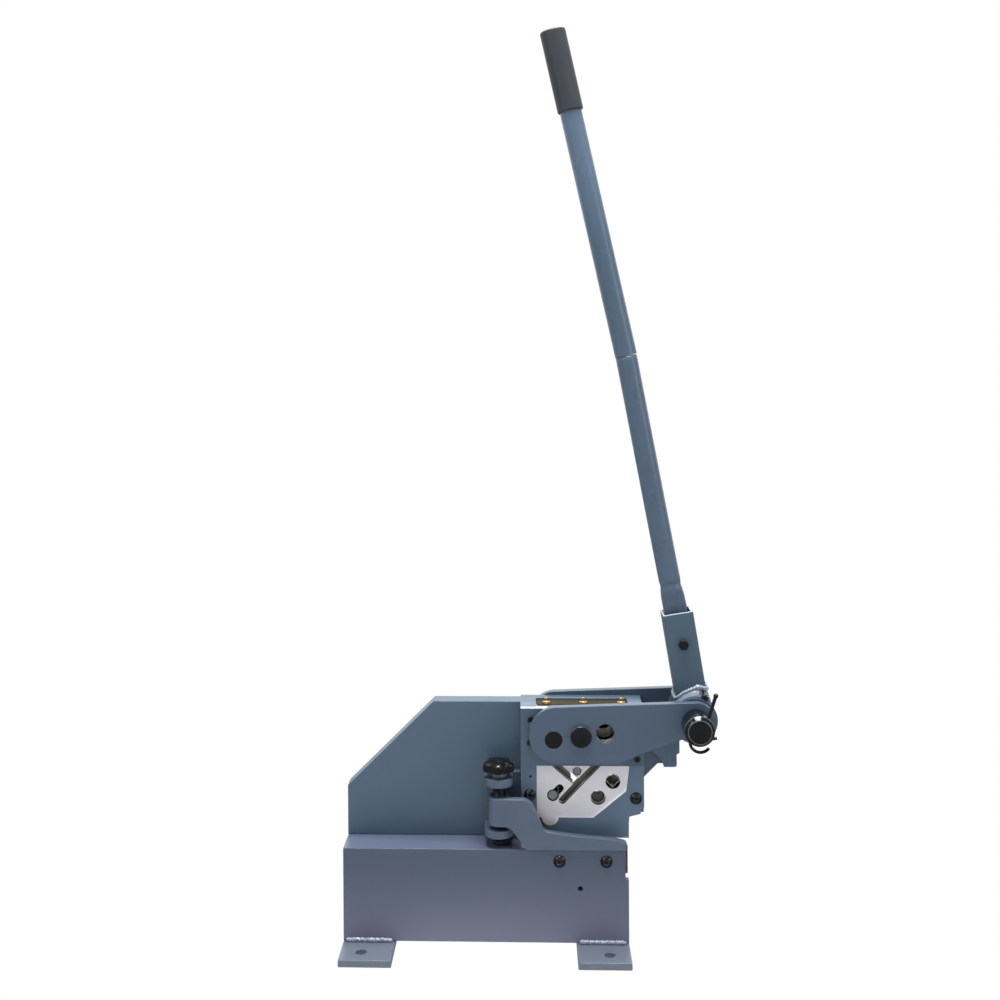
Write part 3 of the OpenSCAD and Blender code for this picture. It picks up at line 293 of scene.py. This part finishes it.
# The fillet welds under the base. Four runs of short-arc weld, each a row of overlapping
# crescents, brushed bright and left thinly coated.
def weld_steel(name):
    """Brushed weld metal: bright, with darker troughs and the marks of the wire brush, which are
    0.3 to 2.4 mm across."""
    material, tree = blank(name)
    where = put(tree, "ShaderNodeTexCoord")
    spots = put(tree, "ShaderNodeTexNoise", {
        "Vector": where.outputs["Object"], "Scale": 420.0, "Detail": 3.0,
    })
    shade = put(tree, "ShaderNodeMapRange", {0: spots.outputs[0], 1: 0.35, 2: 0.65})
    tint = put(tree, "ShaderNodeMix", {
        0: shade.outputs[0], 6: linear("#6A7484"), 7: linear("#A3ADBA"),
    }, data_type="RGBA")
    bump = put(tree, "ShaderNodeBump", {
        "Height": spots.outputs[0], "Strength": 0.5, "Distance": 0.0006,
    })
    metal = put(tree, "ShaderNodeBsdfPrincipled", {
        "Base Color": tint.outputs[2], "Metallic": 0.35, "Roughness": 0.42,
        "Normal": bump.outputs[0],
    })
    put(tree, "ShaderNodeOutputMaterial", {"Surface": metal.outputs[0]})
    return material


def from_grid(points, wrap_rows=False, wrap_columns=False):
    """Quads of a grid of points, row by row. A wrapped direction joins its last line to its
    first."""
    rows, columns = points.shape[:2]
    index = np.arange(rows * columns).reshape(rows, columns)
    if wrap_rows:
        index = np.vstack([index, index[:1]])
    if wrap_columns:
        index = np.hstack([index, index[:, :1]])
    quads = [index[:-1, :-1], index[:-1, 1:], index[1:, 1:], index[1:, :-1]]
    return points.reshape(-1, 3), np.stack(quads, axis=-1).reshape(-1, 4)


def bead(path, out, radius, ripple, closed=False, around=16):
    """A weld bead: a circle carried along a path. With s the length along the path and a the angle
    round it, its radius is radius * (0.86 + 0.14 |cos(pi (s / ripple + 0.3 cos a))|), so each
    ripple is a crescent. An open bead shrinks to a point at its ends, over 1.5 radii."""
    path = np.asarray(path, float)
    along = (np.roll(path, -1, 0) - np.roll(path, 1, 0)) if closed else np.gradient(path, axis=0)
    along /= np.linalg.norm(along, axis=1, keepdims=True)
    out = np.asarray(out, float) * np.ones_like(path)
    out = out - (out * along).sum(1, keepdims=True) * along
    out /= np.linalg.norm(out, axis=1, keepdims=True)
    side = np.cross(along, out)
    s = np.concatenate([[0], np.cumsum(np.linalg.norm(np.diff(path, axis=0), axis=1))])[:, None]
    a = np.linspace(0, 2 * np.pi, around, endpoint=False)[None, :]
    r = radius * (0.86 + 0.14 * np.abs(np.cos(np.pi * (s / ripple + 0.3 * np.cos(a)))))
    if not closed:
        end = np.minimum(s, s[-1] - s) / (1.5 * radius)
        r = r * np.sqrt(np.clip(1 - (1 - np.clip(end, 0, 1)) ** 2, 0.0, 1))
    spoke = np.cos(a)[..., None] * out[:, None] + np.sin(a)[..., None] * side[:, None]
    grid = path[:, None] + r[..., None] * spoke
    return from_grid(grid, wrap_rows=closed, wrap_columns=True)


bright_weld = weld_steel("wire-brushed fillet weld")
foot_x, half_run = 163.5, 33
toe_y, toe_z = 57.2, 12.3
bead_radius, ripple = 3.4, 4.2
runs = []
for side in (-1, 1):
    for end in (-1, 1):
        x = np.linspace(side * foot_x - half_run, side * foot_x + half_run, 260)
        wander = 0.35 * np.sin(x * 0.9) + 0.25 * np.sin(x * 0.37 + side)
        run = np.stack([x, end * (toe_y + wander * 0.5), toe_z + wander], axis=1)
        runs.append(bead(run, (0.0, end, 0.9), bead_radius, ripple))
foot_weld = solid("foot_weld_beads", runs, bright_weld)
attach(foot_weld, "frame")
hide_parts("foot_welds")


# The screws, pins and nuts of the frame. Quenched alloy steel, dipped in hot black oxide and
# oiled: nearly black, with a soft sheen.
def black_steel(name, tone="#0A0B0C", roughness=0.20):
    """Black oxide on turned steel: a near-black skin, its sheen broken faintly by oil spots about
    4 mm across."""
    material, tree = blank(name)
    where = put(tree, "ShaderNodeTexCoord")
    oil = put(tree, "ShaderNodeTexNoise", {
        "Vector": where.outputs["Object"], "Scale": 240.0, "Detail": 2.0,
    })
    gloss = put(tree, "ShaderNodeMapRange", {
        0: oil.outputs[0], 1: 0.3, 2: 0.7, 3: roughness - 0.02, 4: roughness + 0.04,
    })
    tint = put(tree, "ShaderNodeMix", {
        0: oil.outputs[0], 6: linear(tone), 7: linear("#101112"),
    }, data_type="RGBA")
    bump = put(tree, "ShaderNodeBump", {
        "Height": oil.outputs[0], "Strength": 0.02, "Distance": 0.0003,
    })
    skin = put(tree, "ShaderNodeBsdfPrincipled", {
        "Base Color": tint.outputs[2], "Roughness": gloss.outputs[0],
        "Normal": bump.outputs[0], "IOR": 1.5,
    })
    put(tree, "ShaderNodeOutputMaterial", {"Surface": skin.outputs[0]})
    return material


black_oxide = black_steel("black oxide on alloy steel")
dress(["base_screw", "lower_blade_bolts", "lower_blade_nuts", "cover_bolts", "strip_bolts",
       "blade_screws", "fulcrum_pin"], black_oxide, 0.35)


# The blades and the slide. Hardened tool steel, ground on the working faces and kept
# under a brown film of oil where it runs.
def ground_steel(name, colour, stain, amount, roughness, metallic, lay=(3.0, 60.0, 600.0),
                 level=0.5):
    """Ground steel: fine parallel marks 0.4 mm apart, drawn at 1.7 mm, over a bright metal, with
    oil stains some 25 mm across that darken it by an amount. lay is how many marks a metre has
    along each axis, and level the strength of its reflection."""
    material, tree = blank(name)
    where = put(tree, "ShaderNodeTexCoord")
    drawn = put(tree, "ShaderNodeMapping", {"Vector": where.outputs["Object"], "Scale": lay})
    marks = put(tree, "ShaderNodeTexNoise", {
        "Vector": drawn.outputs[0], "Scale": 1.0, "Detail": 2.0,
    })
    patch = put(tree, "ShaderNodeTexNoise", {
        "Vector": where.outputs["Object"], "Scale": 40.0, "Detail": 4.0,
    })
    spread = put(tree, "ShaderNodeMapRange", {
        0: patch.outputs[0], 1: 0.35, 2: 0.7, 3: 0.0, 4: amount,
    })
    tint = put(tree, "ShaderNodeMix", {
        0: spread.outputs[0], 6: linear(colour), 7: linear(stain),
    }, data_type="RGBA")
    gloss = put(tree, "ShaderNodeMapRange", {
        0: marks.outputs[0], 3: roughness - 0.06, 4: roughness + 0.08,
    })
    bump = put(tree, "ShaderNodeBump", {
        "Height": marks.outputs[0], "Strength": 0.10, "Distance": 0.0003,
    })
    metal = put(tree, "ShaderNodeBsdfPrincipled", {
        "Base Color": tint.outputs[2], "Metallic": metallic, "Roughness": gloss.outputs[0],
        "Normal": bump.outputs[0], "Specular IOR Level": level,
    })
    put(tree, "ShaderNodeOutputMaterial", {"Surface": metal.outputs[0]})
    return material


def bare_and_painted_lit_top(material, colour):
    """Gives the faces that look up another colour: ground metal on the lower blade, oil on the
    slide, and a painted highlight on the front cover band.
    """
    tree = material.node_tree
    recolour(tree, facing(tree, 2, 0.6, 0.9), at_1=linear(colour))


def bright_edges(names, material):
    """Puts a second material on the bevelled edges of dressed nodes."""
    for name in names:
        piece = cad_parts[name]
        piece.data.materials.append(material)
        piece.modifiers["edge"].material = 1


oiled_steel = ground_steel(
    "oiled tool steel of the slide", "#1C1916", "#100E0C", 0.8, 0.5, 0.0, level=0.08)
bare_and_painted_lit_top(oiled_steel, "#2E2717")
edge_steel = ground_steel(
    "lower blade, brown with a bright top", "#5D4B40", "#43352C", 0.7, 0.42, 0.3)
bare_and_painted_lit_top(edge_steel, "#C4C3C2")
blade_steel = ground_steel(
    "ground tool steel of the blades", "#A9A49B", "#6A5F52", 0.6, 0.36, 0.4)
# The section blade is painted near black, for the shade in the openings through which it shows:
# painted shade.
section_steel_painted_shade = ground_steel(
    "hardened section blade painted dark as shade", "#1D1B17", "#100F0D", 0.6, 0.5, 0.0, level=0.05)
stoned_edge = ground_steel("stoned cutting edge", "#D9D6CC", "#B3ADA0", 0.4, 0.30, 0.3)
dress(["slide"], oiled_steel, 0.6)
dress(["moving_section_blade"], section_steel_painted_shade, 0.9)
bright_edges(["moving_section_blade"], stoned_edge)
dress(["lower_blade"], edge_steel, 0.4)
dress(["blade_spacer", "upper_blade"], blade_steel, 0.4)


# The frame plate, its strips, the apron, the two cover bands and the reaction bracket.
# Flame-cut plate 8 to 28 mm thick, ground and sprayed with the same enamel as the base, one
# shade darker; the bracket's bolts are sprayed over with it.
frame_enamel = enamel("blue-grey enamel on flame-cut plate", "#415262", "#506478")
cover_enamel = enamel("blue-grey enamel on the cover bands", "#3E4D5C", "#4C5E70", 0.30)
dress(["frame_plate"], frame_enamel, 1.2)
strip_enamel = enamel("blue-grey enamel on the strips and the apron", "#4B5C6F", "#5A6F84")
dress(["left_guide_strip", "right_guide_strip", "apron_plate"], strip_enamel, 0.5)
# The front cover band's top is painted near white: a painted highlight.
cover_band_enamel_painted_top = enamel(
    "enamel of the front cover band, its top painted pale", "#3E4D5C", "#4C5E70", 0.30)
bare_and_painted_lit_top(cover_band_enamel_painted_top, "#C6C9D2")
dress(["front_cover_band"], cover_band_enamel_painted_top, 0.7)
dress(["rear_cover_band", "reaction_bracket"], cover_enamel, 0.7)
dress(["bracket_bolts"], cover_enamel, 0.2)


# The section guide plate. Hardened plate, surface-ground and left bare; its lower edges
# are bevelled and polished, and a bright band 5 mm wide is painted along them: a painted
# reflection of the floor. The walls of its openings are painted near black: painted shade.
guide_steel_painted_light = ground_steel(
    "surface-ground guide plate", "#D6D6DC", "#BBBDC4", 0.35, 0.40, 0.40, (40.0, 60.0, 900.0))
lower_edge_z = 176.15
slant_out, slant_from = (-0.6304, 0.0, 0.7763), 40.68
lobe_at, lobe_radius = (91.2, 0.0, 176.8), 11.85
bevel_wide = 4.6

# How far a point lies inside the lower edges, in millimetres: from the level edge and the
# slanting one whichever is less, or from the edge of the lobe at the left if that is more.
tree = guide_steel_painted_light.node_tree
where = put(tree, "ShaderNodeTexCoord")
flat = put(tree, "ShaderNodeMapping", {
    "Vector": where.outputs["Object"], "Scale": (1000.0, 0.0, 1000.0),
})
place = put(tree, "ShaderNodeSeparateXYZ", {0: flat.outputs[0]})
above = put(tree, "ShaderNodeMath", {
    0: place.outputs[2], 1: lower_edge_z,
}, operation="SUBTRACT")
slant = put(tree, "ShaderNodeVectorMath", {
    0: flat.outputs[0], 1: slant_out,
}, operation="DOT_PRODUCT")
slant = put(tree, "ShaderNodeMath", {
    0: slant.outputs["Value"], 1: slant_from,
}, operation="SUBTRACT")
inner = put(tree, "ShaderNodeMath", {
    0: above.outputs[0], 1: slant.outputs[0],
}, operation="MINIMUM")
reach = put(tree, "ShaderNodeVectorMath", {
    0: flat.outputs[0], 1: lobe_at,
}, operation="DISTANCE")
lobe = put(tree, "ShaderNodeMath", {
    0: lobe_radius, 1: reach.outputs["Value"],
}, operation="SUBTRACT")
depth = put(tree, "ShaderNodeMath", {
    0: inner.outputs[0], 1: lobe.outputs[0],
}, operation="MAXIMUM")
ramp = put(tree, "ShaderNodeMapRange", {0: depth.outputs[0], 1: 0.0, 2: bevel_wide})

# Painted shade: the faces that do not look to the front, the walls of the openings, are painted
# near black.
front = facing(tree, 1, -0.25, -0.6)
# Painted reflection: the band along the lower edges is painted near white.
recolour(tree, ramp.outputs[0], at_0=linear("#E4E7EE"))
metal = recolour(tree, front, at_0=linear("#12100D"))
cut = put(tree, "ShaderNodeBump", {
    "Height": ramp.outputs[0], "Strength": 1.0, "Distance": 0.0008,
    "Normal": metal.inputs["Normal"].links[0].from_socket,
})
tree.links.new(cut.outputs[0], metal.inputs["Normal"])
# The painted band and the painted shade of the walls carry little metal.
bare = put(tree, "ShaderNodeMapRange", {0: ramp.outputs[0], 3: 0.1, 4: 0.40})
bare = put(tree, "ShaderNodeMath", {0: bare.outputs[0], 1: front}, operation="MULTIPLY")
tree.links.new(bare.outputs[0], metal.inputs["Metallic"])
dress(["section_guide_plate"], guide_steel_painted_light, 0.5)
ground_edge = ground_steel(
    "ground edge of the guide plate", "#F0E8D8", "#D8CDB8", 0.4, 0.30, 0.2)
bright_edges(["section_guide_plate"], ground_edge)
pin_steel = ground_steel("turned bright steel", "#80858B", "#5B6067", 0.4, 0.30, 0.4)
dress(["locating_pins", "fulcrum_clip", "drive_clip", "socket_spacers", "crank_roller"],
      pin_steel, 0.3)


# The oilers. Small cups turned from brass bar and pressed into the top of the slide; the
# brass is dulled in spots some 3 mm across.
brass, tree = blank("turned brass")
where = put(tree, "ShaderNodeTexCoord")
dull = put(tree, "ShaderNodeTexNoise", {
    "Vector": where.outputs["Object"], "Scale": 300.0, "Detail": 2.0,
})
tint = put(tree, "ShaderNodeMix", {
    0: dull.outputs[0], 6: linear("#E2C384"), 7: linear("#A98548"),
}, data_type="RGBA")
metal = put(tree, "ShaderNodeBsdfPrincipled", {
    "Base Color": tint.outputs[2], "Metallic": 1.0, "Roughness": 0.32,
})
put(tree, "ShaderNodeOutputMaterial", {"Surface": metal.outputs[0]})
dress(["oilers"], brass)


# The lever arms with their pins. Two flame-cut plates, enamelled, joined by the black
# drive pin and the shaft; the spare hole has a hardened bush, honed bright.
arm_enamel = enamel("blue-grey enamel on the lever arms", "#3E4C5C", "#4F6175", 0.31)
dress(["front_arm", "rear_arm"], arm_enamel, 1.0)
dress(["drive_pin"], black_oxide, 0.4)
honed_steel = ground_steel("honed bush steel", "#8B9199", "#4A4F55", 0.5, 0.18, 0.7)
dress(["arm_bushes"], honed_steel, 0.4)


# The hub and its shaft. The hub is turned from bar and enamelled; the shaft's nose stands
# out in front, black and smooth, with a rod and a hairpin clip in it. Its edges and those of the
# black pins and bolts are painted pale all round: worn bare steel, partly a painted highlight.
hub_enamel = enamel("blue-grey enamel on the turned hub", "#3A4856", "#4D5D71", 0.3)
dress(["hub"], hub_enamel, 0.8)
nose_steel = black_steel("polished black oxide of the nose", roughness=0.12)
dress(["hub_shaft"], nose_steel, 0.6)
worn_and_lit_edge = ground_steel(
    "black oxide worn bare and painted pale at the edges", "#84898D", "#4C5053", 0.6, 0.24, 0.7)
# Partly a painted highlight: the bevels of the black parts get the pale steel all round.
bright_edges(["hub_shaft", "drive_pin", "fulcrum_pin", "cover_bolts", "strip_bolts",
              "lower_blade_bolts"], worn_and_lit_edge)
dress(["shaft_collar", "crank_pin", "nose_rod", "hairpin_clip", "hub_lock_screw"],
      black_oxide, 0.3)


# The weld round the socket's foot. A tall fillet between hub and socket, with one thick
# run along its upper edge, ripples 4 mm apart and a lump where the run ends, thinly coated.
lean = math.radians(9.15)
hub_at = np.array([295.0, -2.5, 316.0])
hub_radius = 31.8
socket_off = 2.5
lock_screw_at, screw_room = (19.9, -29.0), 7.0
run_across = (-24.0, -20.3, -9.6, 2.3, 12.7, 21.0, 26.0)
run_up = (28.0, 31.0, 37.5, 41.0, 43.0, 40.5, 37.0)
run_half, run_radius, run_ripple = 23.2, 2.9, 4.0
lump_across, lump_share = 10.2, 0.45

# The socket's outline as a superellipse of exponent 7, at equal steps along it: c is across
# and d is deep, both from -1 to 1.
t = np.linspace(0, 2 * np.pi, 1440, endpoint=False)
c = np.sign(np.cos(t)) * np.abs(np.cos(t)) ** (2 / 7.0)
d = np.sign(np.sin(t)) * np.abs(np.sin(t)) ** (2 / 7.0)
c, d = np.append(c, c[0]), np.append(d, d[0])
step = np.concatenate([[0], np.cumsum(np.hypot(np.diff(c), np.diff(d)))])
even = np.linspace(0, step[-1], 420, endpoint=False)
c, d = np.interp(even, step, c), np.interp(even, step, d)


def on_hub(across, deep, up):
    """A place in the socket's own axes, in millimetres from the middle of the hub."""
    return np.stack([
        hub_at[0] + across * math.cos(lean) - up * math.sin(lean),
        hub_at[1] + deep,
        hub_at[2] + across * math.sin(lean) + up * math.cos(lean),
    ], axis=-1)


def fillet_row(wide, deep, share):
    """One line round the socket, at half widths wide and deep: share 0 lies on the hub's surface
    and share 1 on the run, whose height was hand-led. Round the lock screw it stays on the hub."""
    across, into = socket_off + wide * c, deep * d
    surface = np.sqrt(hub_radius ** 2 - across ** 2)
    up = surface + share * (np.interp(across, run_across, run_up) - surface)
    near = np.hypot(across - lock_screw_at[0], into - lock_screw_at[1]) < screw_room
    return on_hub(across, into, np.where(near, surface, up))


# From the hub up the outside of the fillet, over the run and down inside it.
rows = [(26.5, 33.0, -0.02), (25.4, 30.0, 0.30), (24.4, 26.6, 0.66), (22.8, 22.8, 1.0),
        (21.0, 21.0, 1.0), (21.0, 21.0, -0.02)]
skirt = np.stack([fillet_row(*row) for row in rows], axis=0)
run_x = socket_off + run_half * c
run = on_hub(run_x, run_half * d, np.interp(run_x, run_across, run_up))
from_lump = (run_half * c - lump_across) ** 2 + (run_half * d + run_half) ** 2
lump = 1 + lump_share * np.exp(-from_lump / 12.0)
out = np.stack([c * math.cos(lean) - math.sin(lean), d, c * math.sin(lean) + math.cos(lean)],
               axis=1)
socket_weld_steel = weld_steel("thinly coated weld on the hub")
# The coat ends and the bare metal begins at these distances from the hub's axis, in metres.
coat_ends, bare_from = 0.0370, 0.0405
tree = socket_weld_steel.node_tree
where = put(tree, "ShaderNodeTexCoord")
flat = put(tree, "ShaderNodeVectorMath", {
    0: where.outputs["Object"], 1: (1.0, 0.0, 1.0),
}, operation="MULTIPLY")
reach = put(tree, "ShaderNodeVectorMath", {
    0: flat.outputs[0], 1: (hub_at[0] / 1000, 0.0, hub_at[2] / 1000),
}, operation="DISTANCE")
bare = put(tree, "ShaderNodeMapRange", {0: reach.outputs["Value"], 1: coat_ends, 2: bare_from})
metal = recolour(tree, bare.outputs[0], at_0=linear("#5F6B7B"))
sheen = put(tree, "ShaderNodeMapRange", {0: bare.outputs[0], 3: 0.0, 4: 0.35})
tree.links.new(sheen.outputs[0], metal.inputs["Metallic"])
dull = put(tree, "ShaderNodeMapRange", {0: bare.outputs[0], 3: 0.62, 4: 0.42})
tree.links.new(dull.outputs[0], metal.inputs["Roughness"])
socket_weld = solid("socket_weld_bead", [
    bead(run, out, run_radius * lump[:, None], run_ripple, closed=True),
    from_grid(skirt, wrap_rows=True, wrap_columns=True),
], socket_weld_steel)
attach(socket_weld, "handle")
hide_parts("hub_weld")


# The handle socket. A length of square tube, enamelled, sawn off square at the top, where
# the bare cut shows as a bright line.
socket_enamel = enamel("blue-grey enamel with a bare sawn end", "#3C4D5C", "#4C606F", 0.33)
# In metres: the socket's top above the middle of the hub, and how far down it is bare.
socket_top, bare_line = 0.1496, 0.0012
tree = socket_enamel.node_tree
where = put(tree, "ShaderNodeTexCoord")
along = put(tree, "ShaderNodeVectorMath", {
    0: where.outputs["Object"], 1: (-math.sin(lean), 0.0, math.cos(lean)),
}, operation="DOT_PRODUCT")
top = -hub_at[0] / 1000 * math.sin(lean) + hub_at[2] / 1000 * math.cos(lean) + socket_top
cut = put(tree, "ShaderNodeMath", {
    0: along.outputs["Value"], 1: top - bare_line,
}, operation="GREATER_THAN")
recolour(tree, cut.outputs[0], at_1=linear("#8C95A1"))
dress(["handle_socket"], socket_enamel, 1.4)
dress(["socket_bolt"], black_oxide, 0.4)


# The lower handle tube. Steel tube whose end is pressed flat to go between the socket's
# spacers; above the socket it swells back to round, with a dent where the press let go.
def carried(centre, along, across, section):
    """A closed section carried along a straight line: for each station, centre plus the section's
    two coordinates along across and along the direction square to both."""
    depth = np.cross(along, across)
    return centre[:, None] + section[..., :1] * across + section[..., 1:] * depth


tube_enamel = enamel("blue-grey enamel on drawn tube", "#445465", "#536578", 0.27)
bolt_up = 105.0
tube_length = 415.5
round_half, flat_half_wide, flat_half_deep = 15.5, 16.7, 11.0
swell_at, swell_over = 71.5, 4.2
bolt_at = hub_at + [
    socket_off * math.cos(lean) - bolt_up * math.sin(lean), 0.0,
    socket_off * math.sin(lean) + bolt_up * math.cos(lean),
]
lower_lean = math.radians(10.6)
down_tube = np.array([-math.sin(lower_lean), 0.0, math.cos(lower_lean)])
across_tube = np.array([math.cos(lower_lean), 0.0, math.sin(lower_lean)])

# At height h above the bolt the half widths go from flat to round by a logistic step, less a
# bell-shaped dent in each; the section is a superellipse whose exponent falls from 3.6 to 2.
h = np.concatenate([
    np.linspace(-24, 47, 20), np.linspace(49, 91, 60), np.linspace(93, tube_length, 60),
])
blend = 1 / (1 + np.exp(-(h - swell_at) / swell_over))
half_wide = flat_half_wide + (round_half - flat_half_wide) * blend
half_wide -= 0.9 * np.exp(-((h - 82.5) / 5.0) ** 2)
half_deep = flat_half_deep + (round_half - flat_half_deep) * blend
half_deep -= 1.6 * np.exp(-((h - 84.5) / 4.0) ** 2)
power = (2.0 / (2.0 + 1.6 * (1 - blend)))[:, None]
a = np.linspace(0, 2 * np.pi, 96, endpoint=False)
section = np.stack([
    half_wide[:, None] * np.sign(np.cos(a)) * np.abs(np.cos(a)) ** power,
    half_deep[:, None] * np.sign(np.sin(a)) * np.abs(np.sin(a)) ** power,
], axis=-1)
tube = carried(bolt_at + h[:, None] * down_tube, down_tube, across_tube, section)
caps = [end.mean(1, keepdims=True) * np.ones_like(end) for end in (tube[:1], tube[-1:])]
tube = np.concatenate([caps[0], tube, caps[1]])
lower = solid("lower_handle_tube", [from_grid(tube, wrap_columns=True)], tube_enamel)
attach(lower, "handle")
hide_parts("lower_tube")


# The upper handle tube. The same drawn tube, slipped over a spigot at the seam; near the
# grip its enamel is painted paler: painted light on the upper end.
upper_enamel_painted_light = enamel(
    "blue-grey enamel on drawn tube, painted paler near the grip", "#445465", "#536578", 0.27)
# The heights between which its painted light grows, in metres.
painted_light_from, painted_light_full = 0.98, 1.10
tree = upper_enamel_painted_light.node_tree
where = put(tree, "ShaderNodeTexCoord")
where = put(tree, "ShaderNodeSeparateXYZ", {0: where.outputs["Object"]})
# Painted light: the tube grows paler towards the grip.
painted_light_share = put(tree, "ShaderNodeMapRange", {0: where.outputs[2], 1: painted_light_from, 2: painted_light_full})
recolour(tree, painted_light_share.outputs[0], at_1=linear("#516376"))
dress(["upper_tube"], upper_enamel_painted_light, 0.4)


# The grip. A dipped rubber sleeve, dull dark grey, closed over the tube's end; its grain of
# 0.5 mm is drawn at 2 mm, and hands have smeared it in patches some 30 mm long.
rubber, tree = blank("dipped grey rubber")
where = put(tree, "ShaderNodeTexCoord")
grain = put(tree, "ShaderNodeTexNoise", {
    "Vector": where.outputs["Object"], "Scale": 500.0, "Detail": 2.0,
})
smear = put(tree, "ShaderNodeTexNoise", {
    "Vector": where.outputs["Object"], "Scale": 30.0, "Detail": 3.0,
})
tint = put(tree, "ShaderNodeMix", {
    0: smear.outputs[0], 6: linear("#242A30"), 7: linear("#2E343C"),
}, data_type="RGBA")
bump = put(tree, "ShaderNodeBump", {
    "Height": grain.outputs[0], "Strength": 0.25, "Distance": 0.0004,
})
skin = put(tree, "ShaderNodeBsdfPrincipled", {
    "Base Color": tint.outputs[2], "Roughness": 0.55, "Normal": bump.outputs[0], "IOR": 1.5,
})
put(tree, "ShaderNodeOutputMaterial", {"Surface": skin.outputs[0]})
dress(["grip"], rubber, 0.5)


# The hold-down's bracket and clamp. Two steel forgings, trimmed and enamelled; their
# edges are rounder than those of the cut plates.
forged_enamel = enamel("blue-grey enamel on forgings", "#434F5E", "#556375", 0.33)
dress(["hold_down_bracket"], forged_enamel, 1.2)
dress(["hold_down_arm"], forged_enamel, 1.6)


# The hold-down screw. A rolled thread, 18 mm across, blacked and oiled, with a chamfer turned
# on its lower end; the nut on it is of bright steel.
def thread(radius, depth, pitch, bottom, top, at, around=64, per_turn=8):
    """A screw: at height z and angle a the radius is radius less depth times the triangle wave
    of z / pitch - a / (2 pi), which runs from 0 on the crest to 1 in the root. Its lower end
    starts chamfer less than radius, and grows by a millimetre for each millimetre of height."""
    chamfer = 1.2
    rows = int((top - bottom) / pitch * per_turn)
    z = np.linspace(bottom, top, rows)[:, None]
    a = np.linspace(0, 2 * np.pi, around, endpoint=False)[None, :]
    phase = (z / pitch - a / (2 * np.pi)) % 1.0
    r = radius - depth * np.abs(2 * phase - 1)
    r = np.minimum(r, radius - chamfer + (z - bottom))
    grid = np.stack([
        at[0] + r * np.cos(a), at[1] + r * np.sin(a), z * np.ones_like(a),
    ], axis=-1)
    ends = [np.array([at[0], at[1], e]) * np.ones((1, around, 3)) for e in (bottom, top)]
    return from_grid(np.concatenate([ends[0], grid, ends[1]]), wrap_columns=True)


screw_at = (18.7, -37.0)
screw_radius, thread_depth, thread_pitch = 9.0, 0.9, 2.5
screw_bottom, screw_top = 143.0, 252.0
screw_black = black_steel("black oxide on rolled thread", "#0E0F10", 0.22)
screw = solid("hold_down_thread", [thread(
    screw_radius, thread_depth, thread_pitch, screw_bottom, screw_top, screw_at,
)], screw_black)
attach(screw, "screw")
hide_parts("hold_down_screw")
dress(["screw_nut"], pin_steel, 0.3)


# The star knob. Moulded black phenolic with five lobes and a low dome, satin; its grain is
# finer than the render shows, and is drawn at 1.4 mm.
knob_black, tree = blank("moulded black phenolic")
where = put(tree, "ShaderNodeTexCoord")
grain = put(tree, "ShaderNodeTexNoise", {
    "Vector": where.outputs["Object"], "Scale": 700.0, "Detail": 1.0,
})
bump = put(tree, "ShaderNodeBump", {
    "Height": grain.outputs[0], "Strength": 0.10, "Distance": 0.0003,
})
skin = put(tree, "ShaderNodeBsdfPrincipled", {
    "Base Color": linear("#08090A"), "Roughness": 0.20, "Normal": bump.outputs[0], "IOR": 1.5,
})
put(tree, "ShaderNodeOutputMaterial", {"Surface": skin.outputs[0]})


def star(at, bottom, profile, around=150, lobes=5):
    """A lobed knob: at angle a its outline is 20.6 + 2.3 cos(lobes (a + 90 degrees)) mm from the
    axis, and each (share, height) of the profile scales that outline; the lobes fade out where
    the share falls from 0.75 to 0.35."""
    share, height = np.array(profile, float).T
    a = np.linspace(0, 2 * np.pi, around, endpoint=False)[None, :]
    fade = np.clip((share - 0.35) / 0.4, 0, 1)[:, None]
    r = share[:, None] * (20.6 + 2.3 * fade * np.cos(lobes * (a + np.pi / 2)))
    z = (bottom + height)[:, None] * np.ones_like(a)
    grid = np.stack([at[0] + r * np.cos(a), at[1] + r * np.sin(a), z], axis=-1)
    return from_grid(grid, wrap_columns=True)


knob_bottom = 244.0
knob_profile = [
    (0.0, 0.0), (0.5, 0.0), (0.6, 0.2), (0.86, 0.4), (0.95, 1.0), (0.99, 2.2),
    (1.0, 4.0), (1.0, 8.5), (0.985, 10.6), (0.95, 12.2), (0.88, 13.4), (0.78, 14.3),
    (0.66, 15.0), (0.56, 15.5), (0.46, 16.4), (0.36, 17.2), (0.2, 17.8), (0.0, 18.0),
]
knob = solid("star_knob", [star(screw_at, knob_bottom, knob_profile)], knob_black)
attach(knob, "screw")
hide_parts("hold_down_knob")
